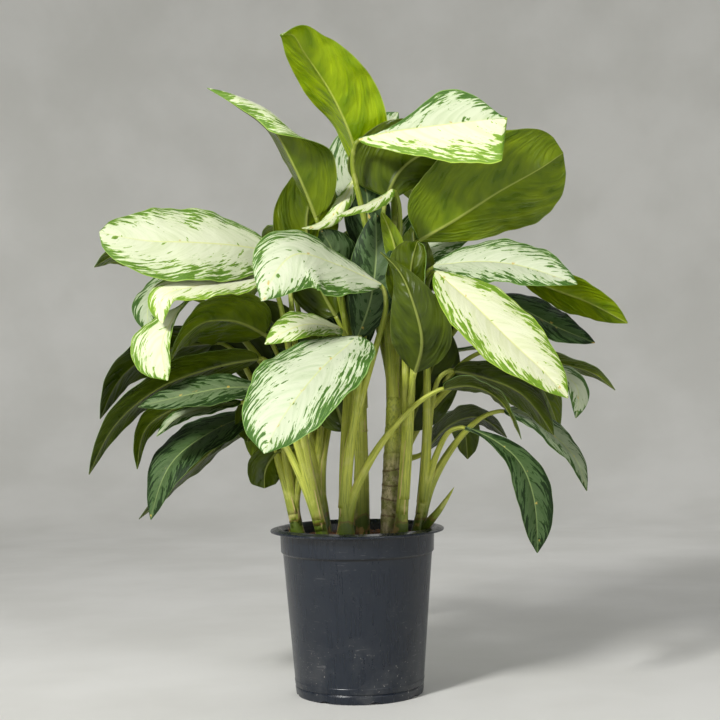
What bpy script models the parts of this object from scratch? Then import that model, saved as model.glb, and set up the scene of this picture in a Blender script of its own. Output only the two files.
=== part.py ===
"""A Chinese evergreen in a plastic nursery pot, in metres, +Z up.

The origin is the middle of the pot's flat underside, and -Y is the plant's front. The pot is turned, the
soil fills it, and each leafy shoot stands in a plain hole in the soil. A shoot is one solid: its cane, its
petioles (leaf stalks) and its furled new leaf. Each leaf blade is a solid of its own that starts at the
end of its petiole.
"""

import math

import bmesh
import bpy
import numpy as np

CM = 0.01
MM = 0.001
GAP = 0.3 * MM

# The pot: outside radii from the lip down, and heights above the underside
POT_HEIGHT = 228 * MM
LIP_R = 120 * MM
LIP_DROP = 6.0 * MM
LIP_THICK = 2.6 * MM
MOUTH_R = 109 * MM
BAND_TOP_R = 106.5 * MM
BAND_R = 105.8 * MM
BAND_Z = 194 * MM
BAND_STEP = 2.6 * MM
FOOT_R = 87.5 * MM
GROOVE_Z = 12.5 * MM
GROOVE_DEPTH = 1.2 * MM
LINE_Z = 21 * MM
WALL = 2.2 * MM
FLOOR = 5.5 * MM
TURN_STEPS = 32
NOTCHES, FIRST_NOTCH = 8, 0.3
NOTCH_WIDTH, NOTCH_HEIGHT, NOTCH_DEPTH = 17 * MM, 3.2 * MM, 9 * MM

# The soil
SOIL_TOP = 205 * MM
SOIL_MOUND, SOIL_FLAT = 4 * MM, 0.75
HOLE_DEPTH = 34 * MM

# The blades: a path of SAMPLES steps, RINGS spans of a loft, and the points across each face
SAMPLES = 60
RINGS = 9
ACROSS = (-1.0, -0.55, 0.0, 0.55, 1.0)
BLADE_THICK = 0.8 * MM
RIB_DEPTH = 2.4 * MM
COLLAR_R = 3.0 * MM
POINT = 0.07
TIP_R = 0.9 * MM
END_SHARE = 6
SWELL, TAPER = 0.62, 0.86
NECK = 0.2
BEND_STEPS = 8
ROLL_RUN = (0.25, 0.6)
WAVES, SIDE_PHASE, LEAF_PHASE = 3.0, 0.37, 0.17
RING_CROWDING = 0.09

# The petioles and canes
PETIOLE_POINTS = 7
PETIOLE_BASE_R, PETIOLE_TAPER = 8.0 * MM, 1.15
COLLAR_RUN = 4.0 * MM
FIRST_PETIOLE = 10 * MM
RISE = 0.4
LEVEL_OUT, LEVEL_OUT_MOST = 0.25, 35 * MM

GREEN = (0.16, 0.30, 0.04, 1)
STALK = (0.32, 0.42, 0.10, 1)
SLATE = (0.035, 0.042, 0.055, 1)
EARTH = (0.05, 0.03, 0.02, 1)

# Each shoot: where its cane leaves the soil, where the cane ends, and its radius at both, all in cm
SHOOTS = {
    "left_outer": ((-7.7, -3.2), (-8.8, -3.6, 26.0), 1.10, 0.95),
    "left_front": ((-4.2, -6.6), (-5.4, -7.2, 25.5), 0.95, 0.85),
    "front_fan": ((-1.4, -7.4), (-1.6, -7.8, 27.0), 1.30, 1.15),
    "centre": ((0.6, 0.8), (1.0, 0.2, 46.0), 1.15, 0.95),
    "cane": ((4.2, -4.6), (5.3, -4.6, 41.0), 1.15, 0.95),
    "right_front": ((5.6, -6.3), (6.4, -6.9, 28.0), 1.10, 0.95),
    "right_outer": ((8.3, -1.8), (9.2, -1.9, 27.0), 1.10, 0.95),
    "back_left": ((-4.6, 5.2), (-6.0, 7.0, 34.0), 1.10, 0.90),
    "back_right": ((4.6, 5.6), (5.6, 7.4, 36.0), 1.10, 0.90),
}

# A furled new leaf of a shoot: its points and its largest radius, in cm
SPEARS = {
    "cane": (((5.2, -4.6, 40.0), (6.0, 1.0, 62.0), (6.6, 3.6, 76.0), (9.9, 4.0, 81.6)), 0.75),
    "right_outer": (((8.9, -1.9, 22.0), (9.8, -3.2, 23.4), (11.3, -4.6, 25.4), (13.2, -5.6, 28.4)), 0.55),
}


def leaf(
        shoot, width, facing, *spine, fold=(14, 14), curl=(-22, -22), roll=(0, 0), roll_run=ROLL_RUN,
        twist=0, wave=0.05, swell=SWELL, taper=TAPER, point=POINT, rise=RISE):
    """One blade, in cm and degrees.

    spine runs from the collar to the tip, and facing points out of the upper face at mid length. Seen
    along the blade with its upper face up, each pair is for the left and the right half: fold lifts the
    half about the midrib, curl bends it up towards its margin, and roll adds to that over roll_run.
    twist turns the tip about the midrib, and wave is the margin's ripple as a share of the half width.
    swell and taper say how fast the outline widens from the collar and narrows to the tip. They and width
    are single numbers, or pairs where the halves differ. point is the last share of the blade, over which
    the margin runs straight to the tip. rise is the share of its way that the petiole climbs along the
    cane before it turns to the blade.
    """
    width, swell, taper = (value if isinstance(value, tuple) else (value, value) for value in (width, swell, taper))
    return dict(
        shoot=shoot, width=width, facing=facing, spine=spine, fold=fold, curl=curl, roll=roll,
        roll_run=roll_run, twist=twist, wave=wave, swell=swell, taper=taper, point=point, rise=rise,
    )


LEAVES = {
    # The crown
    "crown_tall": leaf(
        "centre", (12.0, 8.8), (0.02, 0.9, 0.3),
        (1.5, 1, 71.2), (0.1, -1, 76.7), (-2.5, -4, 82.2), (-6.0, -8, 87.0), (-7.3, -9.9, 88.8), (-8.6, -12, 88.3),
        fold=(0, 70), curl=(-8, -15), roll=(0, -60), taper=(0.85, 0.7), point=0.03),
    "crown_left": leaf(
        "centre", 12.0, (0.15, 0.95, 0.2),
        (-4.9, -3.4, 65.4), (-7.7, -6, 72.1), (-10.7, -7, 77.4), (-15.1, -8.5, 80.3), (-18.8, -10, 81.9),
        fold=(0, 75), curl=(-10, -10), roll=(-170, 0)),
    "crown_olive": leaf(
        "centre", 9.8, (-0.3, 0.9, 0.2),
        (-4.7, 5, 57.5), (-6.5, 4.5, 64.5), (-5.6, 4.5, 70), (-3.0, 3.5, 75)),
    "crown_folded": leaf(
        "cane", (9.0, 13.2), (0.0, -0.75, 0.65),
        (1.3, -6.3, 75.4), (5.0, -7.8, 76.0), (9.8, -9, 76.4), (15.2, -10.5, 76.7), (20.6, -12, 76.9),
        fold=(66, -6), curl=(-14, -30), wave=0.03, swell=(3.2, 0.75), taper=(1.7, 0.1), point=0.03),
    "crown_under": leaf(
        "cane", (8.0, 14.0), (0.0, 0.9, 0.4),
        (4.8, -2.5, 68), (6.9, -2.8, 71.8), (10.3, -2.8, 74.0), (17.5, -3.0, 75.2),
        fold=(14, 18), curl=(-22, -4), swell=(0.7, 0.35), taper=(0.8, 1.2)),
    "right_broad": leaf(
        "cane", (14.2, 17.0), (-0.3, 0.85, 0.5),
        (9.3, 0, 62.3), (14.3, -0.5, 65.0), (20.5, -1, 68.8), (26.1, -1.5, 71.8), (29.6, 0, 74.2),
        fold=(8, 24), swell=(1.0, 0.32), taper=(0.48, 0.45), point=0.02),
    "curl_left": leaf(
        "centre", 2.8, (0.0, 0.0, 1.0),
        (0.3, -1, 70.4), (-1.3, -4, 67.2), (-3.2, -6.5, 64.5), (-6.6, -8.5, 63.3), fold=(0, 0), curl=(-95, 0)),
    "curl_right": leaf(
        "cane", 3.0, (0.0, 0.0, 1.0),
        (5.5, -6, 68.4), (3.1, -9, 66.6), (0.1, -11.5, 65.3), (-2.1, -13.5, 64.1), fold=(0, 0), curl=(-95, 0)),
    "centre_pale": leaf(
        "front_fan", 7.0, (0, -0.95, 0.2),
        (0.4, -5, 48.6), (2.3, -7, 53.5), (3.2, -7, 59.5), (3.2, -6, 65.5), swell=0.9),
    "centre_rolled": leaf(
        "right_front", 6.6, (-0.2, 0.95, 0.1),
        (7.9, -6.8, 52.4), (7.6, -8.2, 55.5), (7.9, -9.2, 58.5), (8.7, -8.2, 61.3),
        curl=(-30, -22), roll=(-110, 0), roll_run=(0.1, 0.45), taper=0.6),
    "centre_olive": leaf(
        "right_front", 8.0, (0, 0.95, 0.2),
        (8.1, -9, 44.0), (8.9, -12, 48.0), (7.8, -12.5, 53.0), (6.2, -12, 56.9), (3.7, -12, 59.6),
        swell=0.9, taper=1.8),
    "back_pale": leaf(
        "back_right", 10.0, (0, -0.9, 0.3),
        (-0.9, 9, 69), (1.0, 10, 74.5), (4.3, 10, 79), (7.0, 9, 82)),
    "back_silver": leaf(
        "back_right", 9.0, (0, -0.9, 0.4),
        (7.4, 4, 58.5), (10.4, 5, 63), (14.3, 6, 65), (19.8, 6, 66.3)),
    "inner_dark": leaf(
        "centre", 8.0, (0.3, -0.8, 0.3),
        (-1.6, -2.8, 55), (-2.2, -4.6, 58.5), (-3.0, -6, 61.2), (-4.3, -6.8, 63.2)),
    # The left side
    "front_low": leaf(
        "front_fan", 15.8, (-0.2, -0.85, 0.5),
        (0.5, -12, 48.4), (-3.6, -17, 44.9), (-6.8, -20.5, 41.2), (-9.4, -22, 37.5), (-11.1, -23, 34.1),
        fold=(38, 4), curl=(-32, -22), swell=(0.62, 0.66), taper=0.62),
    "front_high": leaf(
        "front_fan", (11.8, 10.6), (-0.1, -0.7, 0.7),
        (3.6, -10.5, 55.4), (-2.0, -14, 57.9), (-7.4, -18, 58.8), (-11.3, -21, 52.9), fold=(-8, 14),
        swell=(0.9, 1.3), taper=(0.86, 1.15)),
    "left_big": leaf(
        "left_front", 12.5, (-0.1, -0.85, 0.5),
        (-10.4, -6, 60.4), (-15.5, -10, 61.0), (-21.0, -13, 61.2), (-26.6, -15, 61.3), (-32.2, -16, 62.4),
        fold=(8, 8), taper=0.55, point=0.03),
    "left_mid": leaf(
        "left_front", 8.6, (-0.1, -0.6, 0.8),
        (-12.0, -10, 56.7), (-16.6, -13, 55.9), (-20.8, -16, 55.1), (-24.0, -17.5, 53.8), (-24.0, -18, 50.5)),
    "left_hook": leaf(
        "back_left", (3.6, 8.4), (-0.5, -0.8, 0.3),
        (-21.5, -12, 53.8), (-23.3, -15, 50.8), (-24.3, -16.5, 47.8), (-23.6, -17, 43.3),
        fold=(30, 30), swell=1.9, taper=0.9),
    "left_olive": leaf(
        "left_front", 10.0, (-0.2, 0.6, 0.75),
        (-12.2, -4, 49.5), (-15.8, -8, 51.1), (-19.5, -11, 50.9), (-22.0, -13, 48.9), (-23.6, -14, 45.8)),
    "inner_pale": leaf(
        "front_fan", 6.4, (-0.2, -0.8, 0.5),
        (-1.9, -4.8, 49.9), (-5.5, -8.6, 50.5), (-8.3, -11.5, 49.7), (-11.5, -12.8, 47.8)),
    "left_tip": leaf(
        "back_left", 8.0, (-0.3, 0.3, 0.9),
        (-23.6, -1, 60.0), (-28.7, -3.5, 60.8), (-32.4, -5, 60.4), (-34.8, -6, 58.8)),
    "left_silver": leaf(
        "back_left", 7.5, (-0.5, -0.7, 0.5),
        (-20.3, -4.5, 58.2), (-24.5, -6, 56.2), (-27.2, -8, 53.2), (-26.9, -9, 49.8)),
    "low_fern": leaf(
        "left_outer", 8.0, (-0.4, 0.6, 0.7),
        (-19.1, 0, 48.6), (-26.3, -4, 47.4), (-31.1, -6.5, 44.2), (-33.9, -8, 38.4), rise=0.5),
    "low_long": leaf(
        "left_outer", 8.0, (-0.45, 0.45, 0.75),
        (-13.0, -5, 46.2), (-19.9, -8, 44.7), (-26.2, -10.5, 42.1), (-31.3, -12, 37.6), (-34.6, -12.5, 31.3)),
    "low_blade": leaf(
        "left_front", 7.0, (-0.1, -0.6, 0.8),
        (-12.2, -11, 42.1), (-16.7, -14, 42.2), (-21.6, -16, 41.3), (-27.3, -17.5, 40.0)),
    "low_hanging": leaf(
        "left_outer", 6.0, (-0.6, 0.4, 0.6),
        (-17.7, -4.5, 42.0), (-23.4, -7, 40.0), (-27.8, -8, 37.1), (-28.9, -9, 31.7), rise=0.55),
    "low_small": leaf(
        "left_front", 5.5, (-0.3, -0.4, 0.9),
        (-15.2, -9, 40.3), (-19.7, -11, 39.6), (-23.1, -12, 38.4), (-25.7, -13, 36.1)),
    "low_drooping": leaf(
        "left_outer", 8.5, (-0.6, -0.75, 0.35),
        (-13.8, 0.8, 38.6), (-19.0, -4, 36.6), (-24.5, -8, 32.3), (-27.2, -9, 25.0)),
    "low_behind": leaf(
        "left_outer", 7.5, (-0.6, 0.3, 0.7),
        (-12.7, 5, 38.4), (-18.1, 3.2, 35.2), (-24.2, 0, 30.0), (-29.8, -2.5, 24.5)),
    # The right side
    "right_upper": leaf(
        "cane", 10.3, (0.2, -0.75, 0.65),
        (11.3, -2, 58.4), (16.3, -4.5, 58.8), (21.4, -7.3, 58.1), (25.9, -10.5, 56.4), (29.2, -12.5, 54.9)),
    "right_tip": leaf(
        "back_right", 6.8, (0.2, 0.7, 0.7),
        (22.5, 2, 58.0), (27.4, -1, 55.3), (32.4, -3, 53.0), (37.3, -4, 50.1), swell=0.9),
    "right_front": leaf(
        "right_outer", 10.2, (0.3, -0.85, 0.4),
        (11.1, -9, 57.0), (15.4, -13.2, 52.7), (19.9, -16.5, 47.6), (24.0, -18.4, 43.4), (26.7, -19.4, 40.2),
        swell=0.8),
    "right_long": leaf(
        "right_outer", 6.0, (0.45, -0.8, 0.4),
        (15.0, -4, 36.2), (18.6, -5.5, 34.6), (21.8, -7, 31.7), (23.4, -8.5, 27.3), (23.7, -9.5, 19.8),
        fold=(18, 18), swell=1.5, taper=0.9),
    "right_drooping": leaf(
        "right_outer", 5.5, (0.5, -0.6, 0.6),
        (21.0, 2.5, 38.3), (25.0, 1.8, 37.2), (28.3, 1, 34.2), (30.5, 0.5, 31.5), (31.9, 0, 27.1)),
    "right_dark": leaf(
        "right_outer", 8.0, (0.3, 0.5, 0.8),
        (13.7, -3, 44.1), (18.2, -4, 42.9), (22.8, -4.5, 40.6), (26.8, -5, 35.1)),
    "right_edge": leaf(
        "front_fan", 7.0, (0.3, 0.2, 0.9),
        (11.9, -9.5, 41.7), (15.8, -11, 41.9), (19.0, -12, 40.0), (21.5, -13, 34.9)),
    "right_back_high": leaf(
        "back_right", 7.0, (0.25, -0.75, 0.6),
        (20.7, 3, 54.4), (24.7, 1.5, 52.0), (28.6, 0, 49.7), (33.3, -1, 47.6)),
    "right_back_low": leaf(
        "back_right", 6.5, (0.3, 0.3, 0.9),
        (19.0, 1, 46.8), (24.0, 0, 46.0), (29.5, -2, 44.6), (33.0, -2.5, 43.3), (35.6, -3, 41.0)),
    "right_pale": leaf(
        "back_right", 6.0, (0.6, -0.6, 0.5),
        (21.5, -5, 45.6), (26.0, -8, 44.0), (29.2, -10, 41.6), (28.9, -11, 37.5), rise=0.55),
    # The back
    "rear_left": leaf(
        "back_left", 10.0, (-0.3, 0.3, 0.9),
        (-13, 10, 50), (-20, 16, 50), (-27, 20, 45), (-31, 21, 38)),
    "rear_left_high": leaf(
        "back_left", 10.5, (-0.3, 0.4, 0.9),
        (-9.5, 10, 57.5), (-14.5, 18, 59.5), (-19, 24, 56.5), (-22, 28, 50)),
    "rear_middle": leaf(
        "back_left", 11.0, (0, 0.9, 0.4),
        (-0.5, 9.5, 50), (-0.8, 13, 56), (0.2, 16, 62), (2.5, 18, 67)),
    "rear_right_high": leaf(
        "back_right", 10.5, (0.4, 0.4, 0.9),
        (9, 12, 56), (14, 19, 58), (19, 25, 54), (22, 28, 46)),
    "rear_right": leaf(
        "back_right", 10.0, (0.4, 0.3, 0.9),
        (14, 9, 47), (22, 14, 47), (28, 18, 42), (31, 19, 35)),
    "rear_low_left": leaf(
        "back_left", 9.5, (-0.3, 0.5, 0.8),
        (-8, 12, 40), (-11, 19, 40.5), (-13.5, 24, 36), (-12.5, 26, 28.5), taper=0.6),
    "rear_low_right": leaf(
        "back_right", 6.0, (0.3, 0.5, 0.8),
        (9.5, 13, 36.5), (13.3, 18, 37.8), (16.5, 22, 35.8), (17.2, 23, 30.6), taper=0.6),
    "rear_crown": leaf(
        "back_right", 10.0, (0.2, 0.4, 0.9),
        (3, 8, 68), (5, 14, 73), (8, 21, 75), (10, 27, 71)),
    "rear_crown_left": leaf(
        "back_left", 9.5, (-0.3, 0.4, 0.9),
        (-3, 9, 62), (-6.5, 15, 66), (-10.5, 20, 66), (-14, 24, 62.5)),
}


def unit(rows):
    return rows / np.linalg.norm(rows, axis=-1, keepdims=True)


def smooth_path(points, count):
    """count + 1 evenly spread points on a smooth curve through the given ones."""
    p = np.array(points, float)
    knots = np.concatenate([[0], np.cumsum(np.sqrt(np.linalg.norm(np.diff(p, axis=0), axis=1)))])
    slopes = np.diff(p, axis=0) / np.diff(knots)[:, None]
    ahead, behind = np.diff(knots)[1:, None], np.diff(knots)[:-1, None]
    inner = (slopes[:-1] * ahead + slopes[1:] * behind) / (ahead + behind)
    tangents = np.vstack([1.5 * slopes[0] - 0.5 * inner[0], inner, 1.5 * slopes[-1] - 0.5 * inner[-1]])
    t = np.linspace(0, knots[-1], 20 * count + 1)
    i = np.clip(np.searchsorted(knots, t, side="right") - 1, 0, len(p) - 2)
    h = (knots[i + 1] - knots[i])[:, None]
    s = (t - knots[i])[:, None] / h
    dense = (
        (2 * s**3 - 3 * s**2 + 1) * p[i]
        + (s**3 - 2 * s**2 + s) * h * tangents[i]
        + (3 * s**2 - 2 * s**3) * p[i + 1]
        + (s**3 - s**2) * h * tangents[i + 1]
    )
    run = np.concatenate([[0], np.cumsum(np.linalg.norm(np.diff(dense, axis=0), axis=1))])
    even = np.linspace(0, run[-1], count + 1)
    return np.column_stack([np.interp(even, run, dense[:, k]) for k in range(3)])


def blade_frames(shape):
    """Points, tangents and upper normals along a blade's midrib, SAMPLES + 1 of each."""
    path = smooth_path(np.array(shape["spine"]) * CM, SAMPLES)
    along = unit(np.gradient(path, axis=0))
    normals = np.zeros_like(path)
    middle = SAMPLES // 2
    for order in (range(middle, SAMPLES + 1), range(middle, -1, -1)):
        normal = np.array(shape["facing"], float)
        for i in order:
            normal = unit(normal - (normal @ along[i]) * along[i])
            normals[i] = normal
    angle = np.radians(shape["twist"]) * (np.linspace(0, 1, SAMPLES + 1) - 0.5)[:, None]
    normals = normals * np.cos(angle) + np.cross(along, normals) * np.sin(angle)
    return path, along, normals


def blade_half_width(shape, side, u):
    """The width of one half of the blade at u, from 0 at the collar to 1 at the tip."""
    width, swell, taper = (shape[key][side] for key in ("width", "swell", "taper"))
    peak = swell / (swell + taper)
    body = min(u, 1 - shape["point"])
    straight = min(1.0, (1 - u) / shape["point"])
    share = (body / peak) ** swell * ((1 - body) / (1 - peak)) ** taper * straight
    return width * CM / 2 * share + COLLAR_R * (1 - u) ** END_SHARE + TIP_R * u**END_SHARE


def smooth_step(low, high, x):
    t = min(1.0, max(0.0, (x - low) / (high - low)))
    return t * t * (3 - 2 * t)


def blade_point(shape, phase, frames, i, v):
    """A point of the blade's middle surface and its upper normal, at sample i and v from -1 to 1 across."""
    path, along, normals = frames
    u = i / SAMPLES
    side, sign = (0, -1) if v < 0 else (1, 1)
    t = abs(v)
    half = blade_half_width(shape, side, u)
    fold = math.radians(shape["fold"][side])
    bend = math.radians(shape["curl"][side] + shape["roll"][side] * smooth_step(*shape["roll_run"], u))
    steps = (np.arange(BEND_STEPS) + 0.5) / BEND_STEPS * t
    reach = half * t * np.cos(fold + bend * steps).mean()
    lift = half * t * np.sin(fold + bend * steps).mean()
    ripple = math.sin(2 * math.pi * (WAVES * u + phase + SIDE_PHASE * side)) * shape["wave"]
    lift += half * ripple * t**2 * math.sin(math.pi * u) ** 0.5
    across = np.cross(along[i], normals[i])
    point = path[i] + across * sign * reach + normals[i] * lift
    end = fold + bend * t
    upper = normals[i] * math.cos(end) - across * sign * math.sin(end)
    return point, upper


def blade_rings(shape, phase):
    """Rings of the blade from collar to tip: the upper face from left to right, then the lower one back."""
    frames = blade_frames(shape)
    rings = []
    for k in range(RINGS + 1):
        t = k / RINGS
        # The rings lie closer together near both ends, where the outline turns fastest.
        i = round(SAMPLES * (t - RING_CROWDING * math.sin(2 * math.pi * t)))
        u = i / SAMPLES
        neck = (COLLAR_R - BLADE_THICK / 2) * max(0.0, 1 - u / NECK) ** 2
        upper, lower = [], []
        for v in ACROSS:
            point, normal = blade_point(shape, phase, frames, i, v)
            middle = 1 - abs(v)
            rib = RIB_DEPTH * (1 - u) if v == 0 else 0
            upper.append(point + normal * (BLADE_THICK / 2 + neck * middle))
            lower.append(point - normal * (BLADE_THICK / 2 + max(neck * middle, rib)))
        rings.append(upper + lower[::-1])
    return rings


def petiole_route(start, up, rise, collar, along):
    """A stalk that leaves the cane upwards and meets the blade along its midrib."""
    end = collar - along * (GAP + COLLAR_RUN)
    reach = np.linalg.norm(end - start)
    b = start + up * reach * rise
    c = end - along * min(reach * LEVEL_OUT, LEVEL_OUT_MOST)
    t = np.linspace(0, 1, PETIOLE_POINTS - 1)[:, None]
    bend = (1 - t) ** 3 * start + 3 * (1 - t) ** 2 * t * b + 3 * (1 - t) * t**2 * c + t**3 * end
    return np.vstack([bend, collar - along * GAP])


def petiole_radii():
    t = np.linspace(0, 1, PETIOLE_POINTS)
    return COLLAR_R + (PETIOLE_BASE_R - COLLAR_R) * (1 - t) ** PETIOLE_TAPER


def cane_line(name):
    """The points and radii of a shoot's cane, from the bottom of its hole to its head."""
    (x, y), top, ground_r, top_r = SHOOTS[name]
    ground = np.array((x * CM, y * CM, SOIL_TOP))
    foot = ground - np.array((0, 0, HOLE_DEPTH - GAP))
    head = np.array(top) * CM
    share = np.linspace(0, 1, 4)[:, None]
    return np.vstack([foot, ground + (head - ground) * share]), np.interp(
        [0, 0, 1, 2, 3], [0, 1, 3], np.array([ground_r, ground_r, top_r]) * CM)


def shoot_tubes(name):
    """(points, radii) of each tube that makes up a shoot, the cane first."""
    cane, radii = cane_line(name)
    ground, head = cane[1], cane[-1]
    up = unit(head - ground)
    tubes = [(cane, radii)]
    mine = sorted(
        (shape for shape in LEAVES.values() if shape["shoot"] == name), key=lambda shape: shape["spine"][0][2])
    rise = np.linalg.norm(head - ground)
    for order, shape in enumerate(mine):
        path, along, _ = blade_frames(shape)
        share = (FIRST_PETIOLE + (rise - 2 * FIRST_PETIOLE) * order / max(1, len(mine) - 1)) / rise
        start = ground + (head - ground) * share
        tubes.append((petiole_route(start, up, shape["rise"], path[0], along[0]), petiole_radii()))
    if name in SPEARS:
        points, radius = SPEARS[name]
        t = np.linspace(0, 1, 9)
        tubes.append((smooth_path(np.array(points) * CM, 8), radius * CM * np.clip(1.3 * (1 - t) ** 0.7, 0.1, 1)))
    return tubes


def material(name, colour, roughness):
    made = bpy.data.materials.new(name)
    made.use_nodes = True
    shader = made.node_tree.nodes["Principled BSDF"]
    shader.inputs["Base Color"].default_value = colour
    shader.inputs["Roughness"].default_value = roughness
    return made


def group(name, hidden=False):
    made = bpy.data.collections.new(name)
    bpy.context.scene.collection.children.link(made)
    made.hide_render = hidden
    return made


def add(name, data, collection, finish=None):
    made = bpy.data.objects.new(name, data)
    collection.objects.link(made)
    if finish:
        data.materials.clear()
        data.materials.append(finish)
    return made


def evaluated_mesh(thing):
    bpy.context.view_layer.update()
    graph = bpy.context.evaluated_depsgraph_get()
    return bpy.data.meshes.new_from_object(thing.evaluated_get(graph))


def blade_mesh(name, shape, phase):
    """A closed thin blade with a rib below its middle, split into like triangles on both faces."""
    work = bmesh.new()
    rows = [[work.verts.new(point) for point in ring] for ring in blade_rings(shape, phase)]
    count, across = len(rows[0]), len(ACROSS)
    for a, b in zip(rows, rows[1:]):
        for j in range(count):
            k = (j + 1) % count
            if j < across:
                work.faces.new((a[j], a[k], b[j]))
                work.faces.new((a[k], b[k], b[j]))
            else:
                work.faces.new((a[j], a[k], b[k]))
                work.faces.new((a[j], b[k], b[j]))
    for row in (rows[0], rows[-1]):
        for j in range(across - 1):
            work.faces.new((row[j], row[j + 1], row[count - 2 - j], row[count - 1 - j]))
    bmesh.ops.recalc_face_normals(work, faces=work.faces)
    data = bpy.data.meshes.new(name)
    work.to_mesh(data)
    work.free()
    return data


def tube(name, path, radii, collection):
    """A round tapering tube along path, as a mesh object with welded caps."""
    curve = bpy.data.curves.new(name, "CURVE")
    curve.dimensions = "3D"
    curve.bevel_depth = 1
    curve.bevel_resolution = 1
    curve.use_fill_caps = True
    spline = curve.splines.new("POLY")
    spline.points.add(len(path) - 1)
    for point, place, radius in zip(spline.points, path, radii):
        point.co = (*place, 1)
        point.radius = radius
    guide = add(name + "_guide", curve, collection)
    data = evaluated_mesh(guide)
    bpy.data.objects.remove(guide)
    work = bmesh.new()
    work.from_mesh(data)
    bmesh.ops.remove_doubles(work, verts=work.verts, dist=0.01 * MM)
    bmesh.ops.recalc_face_normals(work, faces=work.faces)
    work.to_mesh(data)
    work.free()
    return add(name, data, collection)


def join(first, others, name, collection, finish):
    """One solid from an object and a collection of the solids that meet it."""
    union = first.modifiers.new("join", "BOOLEAN")
    union.operation = "UNION"
    union.operand_type = "COLLECTION"
    union.collection = others
    union.solver = "MANIFOLD"
    data = evaluated_mesh(first)
    for used in [first, *others.objects]:
        bpy.data.objects.remove(used)
    bpy.data.collections.remove(others)
    return add(name, data, collection, finish)


def shoot_object(name, collection, finish):
    """A cane with its petioles and furled leaf, joined in one solid."""
    limbs = group("limbs_" + name, hidden=True)
    holder = group("cane_" + name, hidden=True)
    (cane, cane_radii), *rest = shoot_tubes(name)
    for number, (path, radii) in enumerate(rest):
        tube(f"limb_{name}_{number}", path, radii, limbs)
    first = tube("cane_" + name, cane, cane_radii, holder)
    made = join(first, limbs, "shoot_" + name, collection, finish)
    bpy.data.collections.remove(holder)
    return made


def turned(name, profile, collection, finish):
    """A solid of revolution from (radius, height) points that run down its outer side."""
    work = bmesh.new()
    row = [work.verts.new((r, 0, z)) for r, z in profile]
    for a, b in zip(row, row[1:]):
        work.edges.new((a, b))
    data = bpy.data.meshes.new(name)
    work.to_mesh(data)
    work.free()
    made = add(name, data, collection, finish)
    screw = made.modifiers.new("turn", "SCREW")
    screw.steps = screw.render_steps = TURN_STEPS
    screw.use_merge_vertices = True
    screw.merge_threshold = 0.01 * MM
    screw.use_smooth_shade = True
    return made


def cut(thing, cutters):
    """Takes every solid of a collection out of thing."""
    cutters.hide_render = True
    for cutter in cutters.objects:
        cutter.display_type = "WIRE"
        cutter.hide_render = True
    modifier = thing.modifiers.new("cut", "BOOLEAN")
    modifier.operand_type = "COLLECTION"
    modifier.collection = cutters
    return modifier


def move_to(collection):
    """Puts the object that was just added in collection alone."""
    thing = bpy.context.object
    for owner in list(thing.users_collection):
        owner.objects.unlink(thing)
    collection.objects.link(thing)
    return thing


def wall_radius(z):
    """The outside of the pot's tapered wall at height z."""
    return FOOT_R + (BAND_R - BAND_STEP - FOOT_R) * z / BAND_Z


def pot_object(collection, finish):
    shoulder = BAND_Z - 1.5 * MM
    under_lip = POT_HEIGHT - LIP_DROP - LIP_THICK
    profile = [
        (0, FLOOR),
        (wall_radius(FLOOR) - WALL, FLOOR),
        (wall_radius(shoulder) - WALL, shoulder),
        (BAND_R - WALL, BAND_Z + 2 * MM),
        (BAND_TOP_R - WALL, POT_HEIGHT - LIP_DROP),
        (MOUTH_R, POT_HEIGHT),
        (LIP_R, POT_HEIGHT - LIP_DROP * 0.5),
        (LIP_R, under_lip + LIP_DROP * 0.5),
        (MOUTH_R + 1 * MM, under_lip + LIP_DROP * 0.7),
        (BAND_TOP_R, under_lip),
        (BAND_R, BAND_Z + 1 * MM),
        (wall_radius(shoulder), shoulder),
        (wall_radius(LINE_Z), LINE_Z + 0.8 * MM),
        (wall_radius(LINE_Z) + 0.5 * MM, LINE_Z),
        (wall_radius(GROOVE_Z) + 0.3 * MM, GROOVE_Z + 1.5 * MM),
        (wall_radius(GROOVE_Z) - GROOVE_DEPTH, GROOVE_Z),
        (wall_radius(GROOVE_Z) + 0.3 * MM, GROOVE_Z - 1.5 * MM),
        (FOOT_R, 1 * MM),
        (FOOT_R - 1 * MM, 0),
        (0, 0),
    ]
    pot = turned("pot", profile, collection, finish)
    notches = group("foot_notches")
    for k in range(NOTCHES):
        angle = 2 * math.pi * (k + FIRST_NOTCH) / NOTCHES
        bpy.ops.mesh.primitive_cylinder_add(
            vertices=10, radius=1, depth=2, rotation=(0, math.pi / 2, angle),
            location=(math.cos(angle) * FOOT_R, math.sin(angle) * FOOT_R, 0))
        notch = move_to(notches)
        notch.name = f"notch_{k}"
        notch.scale = (NOTCH_HEIGHT, NOTCH_WIDTH / 2, NOTCH_DEPTH)
    cut(pot, notches)
    return pot


def soil_object(collection, finish):
    edge = BAND_R - WALL - 2 * GAP
    shoulder = BAND_Z - 2.5 * MM
    profile = [
        (0, SOIL_TOP),
        (edge * SOIL_FLAT, SOIL_TOP),
        (edge, SOIL_TOP - SOIL_MOUND),
        (edge, BAND_Z + 3 * MM),
        (wall_radius(shoulder) - WALL - 2 * GAP, shoulder),
        (wall_radius(FLOOR) - WALL - 2 * GAP, FLOOR + GAP),
        (0, FLOOR + GAP),
    ]
    soil = turned("soil", profile, collection, finish)
    holes = group("shoot_holes")
    for name, ((x, y), _, radius, _) in SHOOTS.items():
        bpy.ops.mesh.primitive_cylinder_add(
            vertices=12, radius=(radius * CM + GAP) / math.cos(math.pi / 12), depth=2 * HOLE_DEPTH,
            location=(x * CM, y * CM, SOIL_TOP))
        move_to(holes).name = "hole_" + name
    cut(soil, holes)
    return soil


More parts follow.
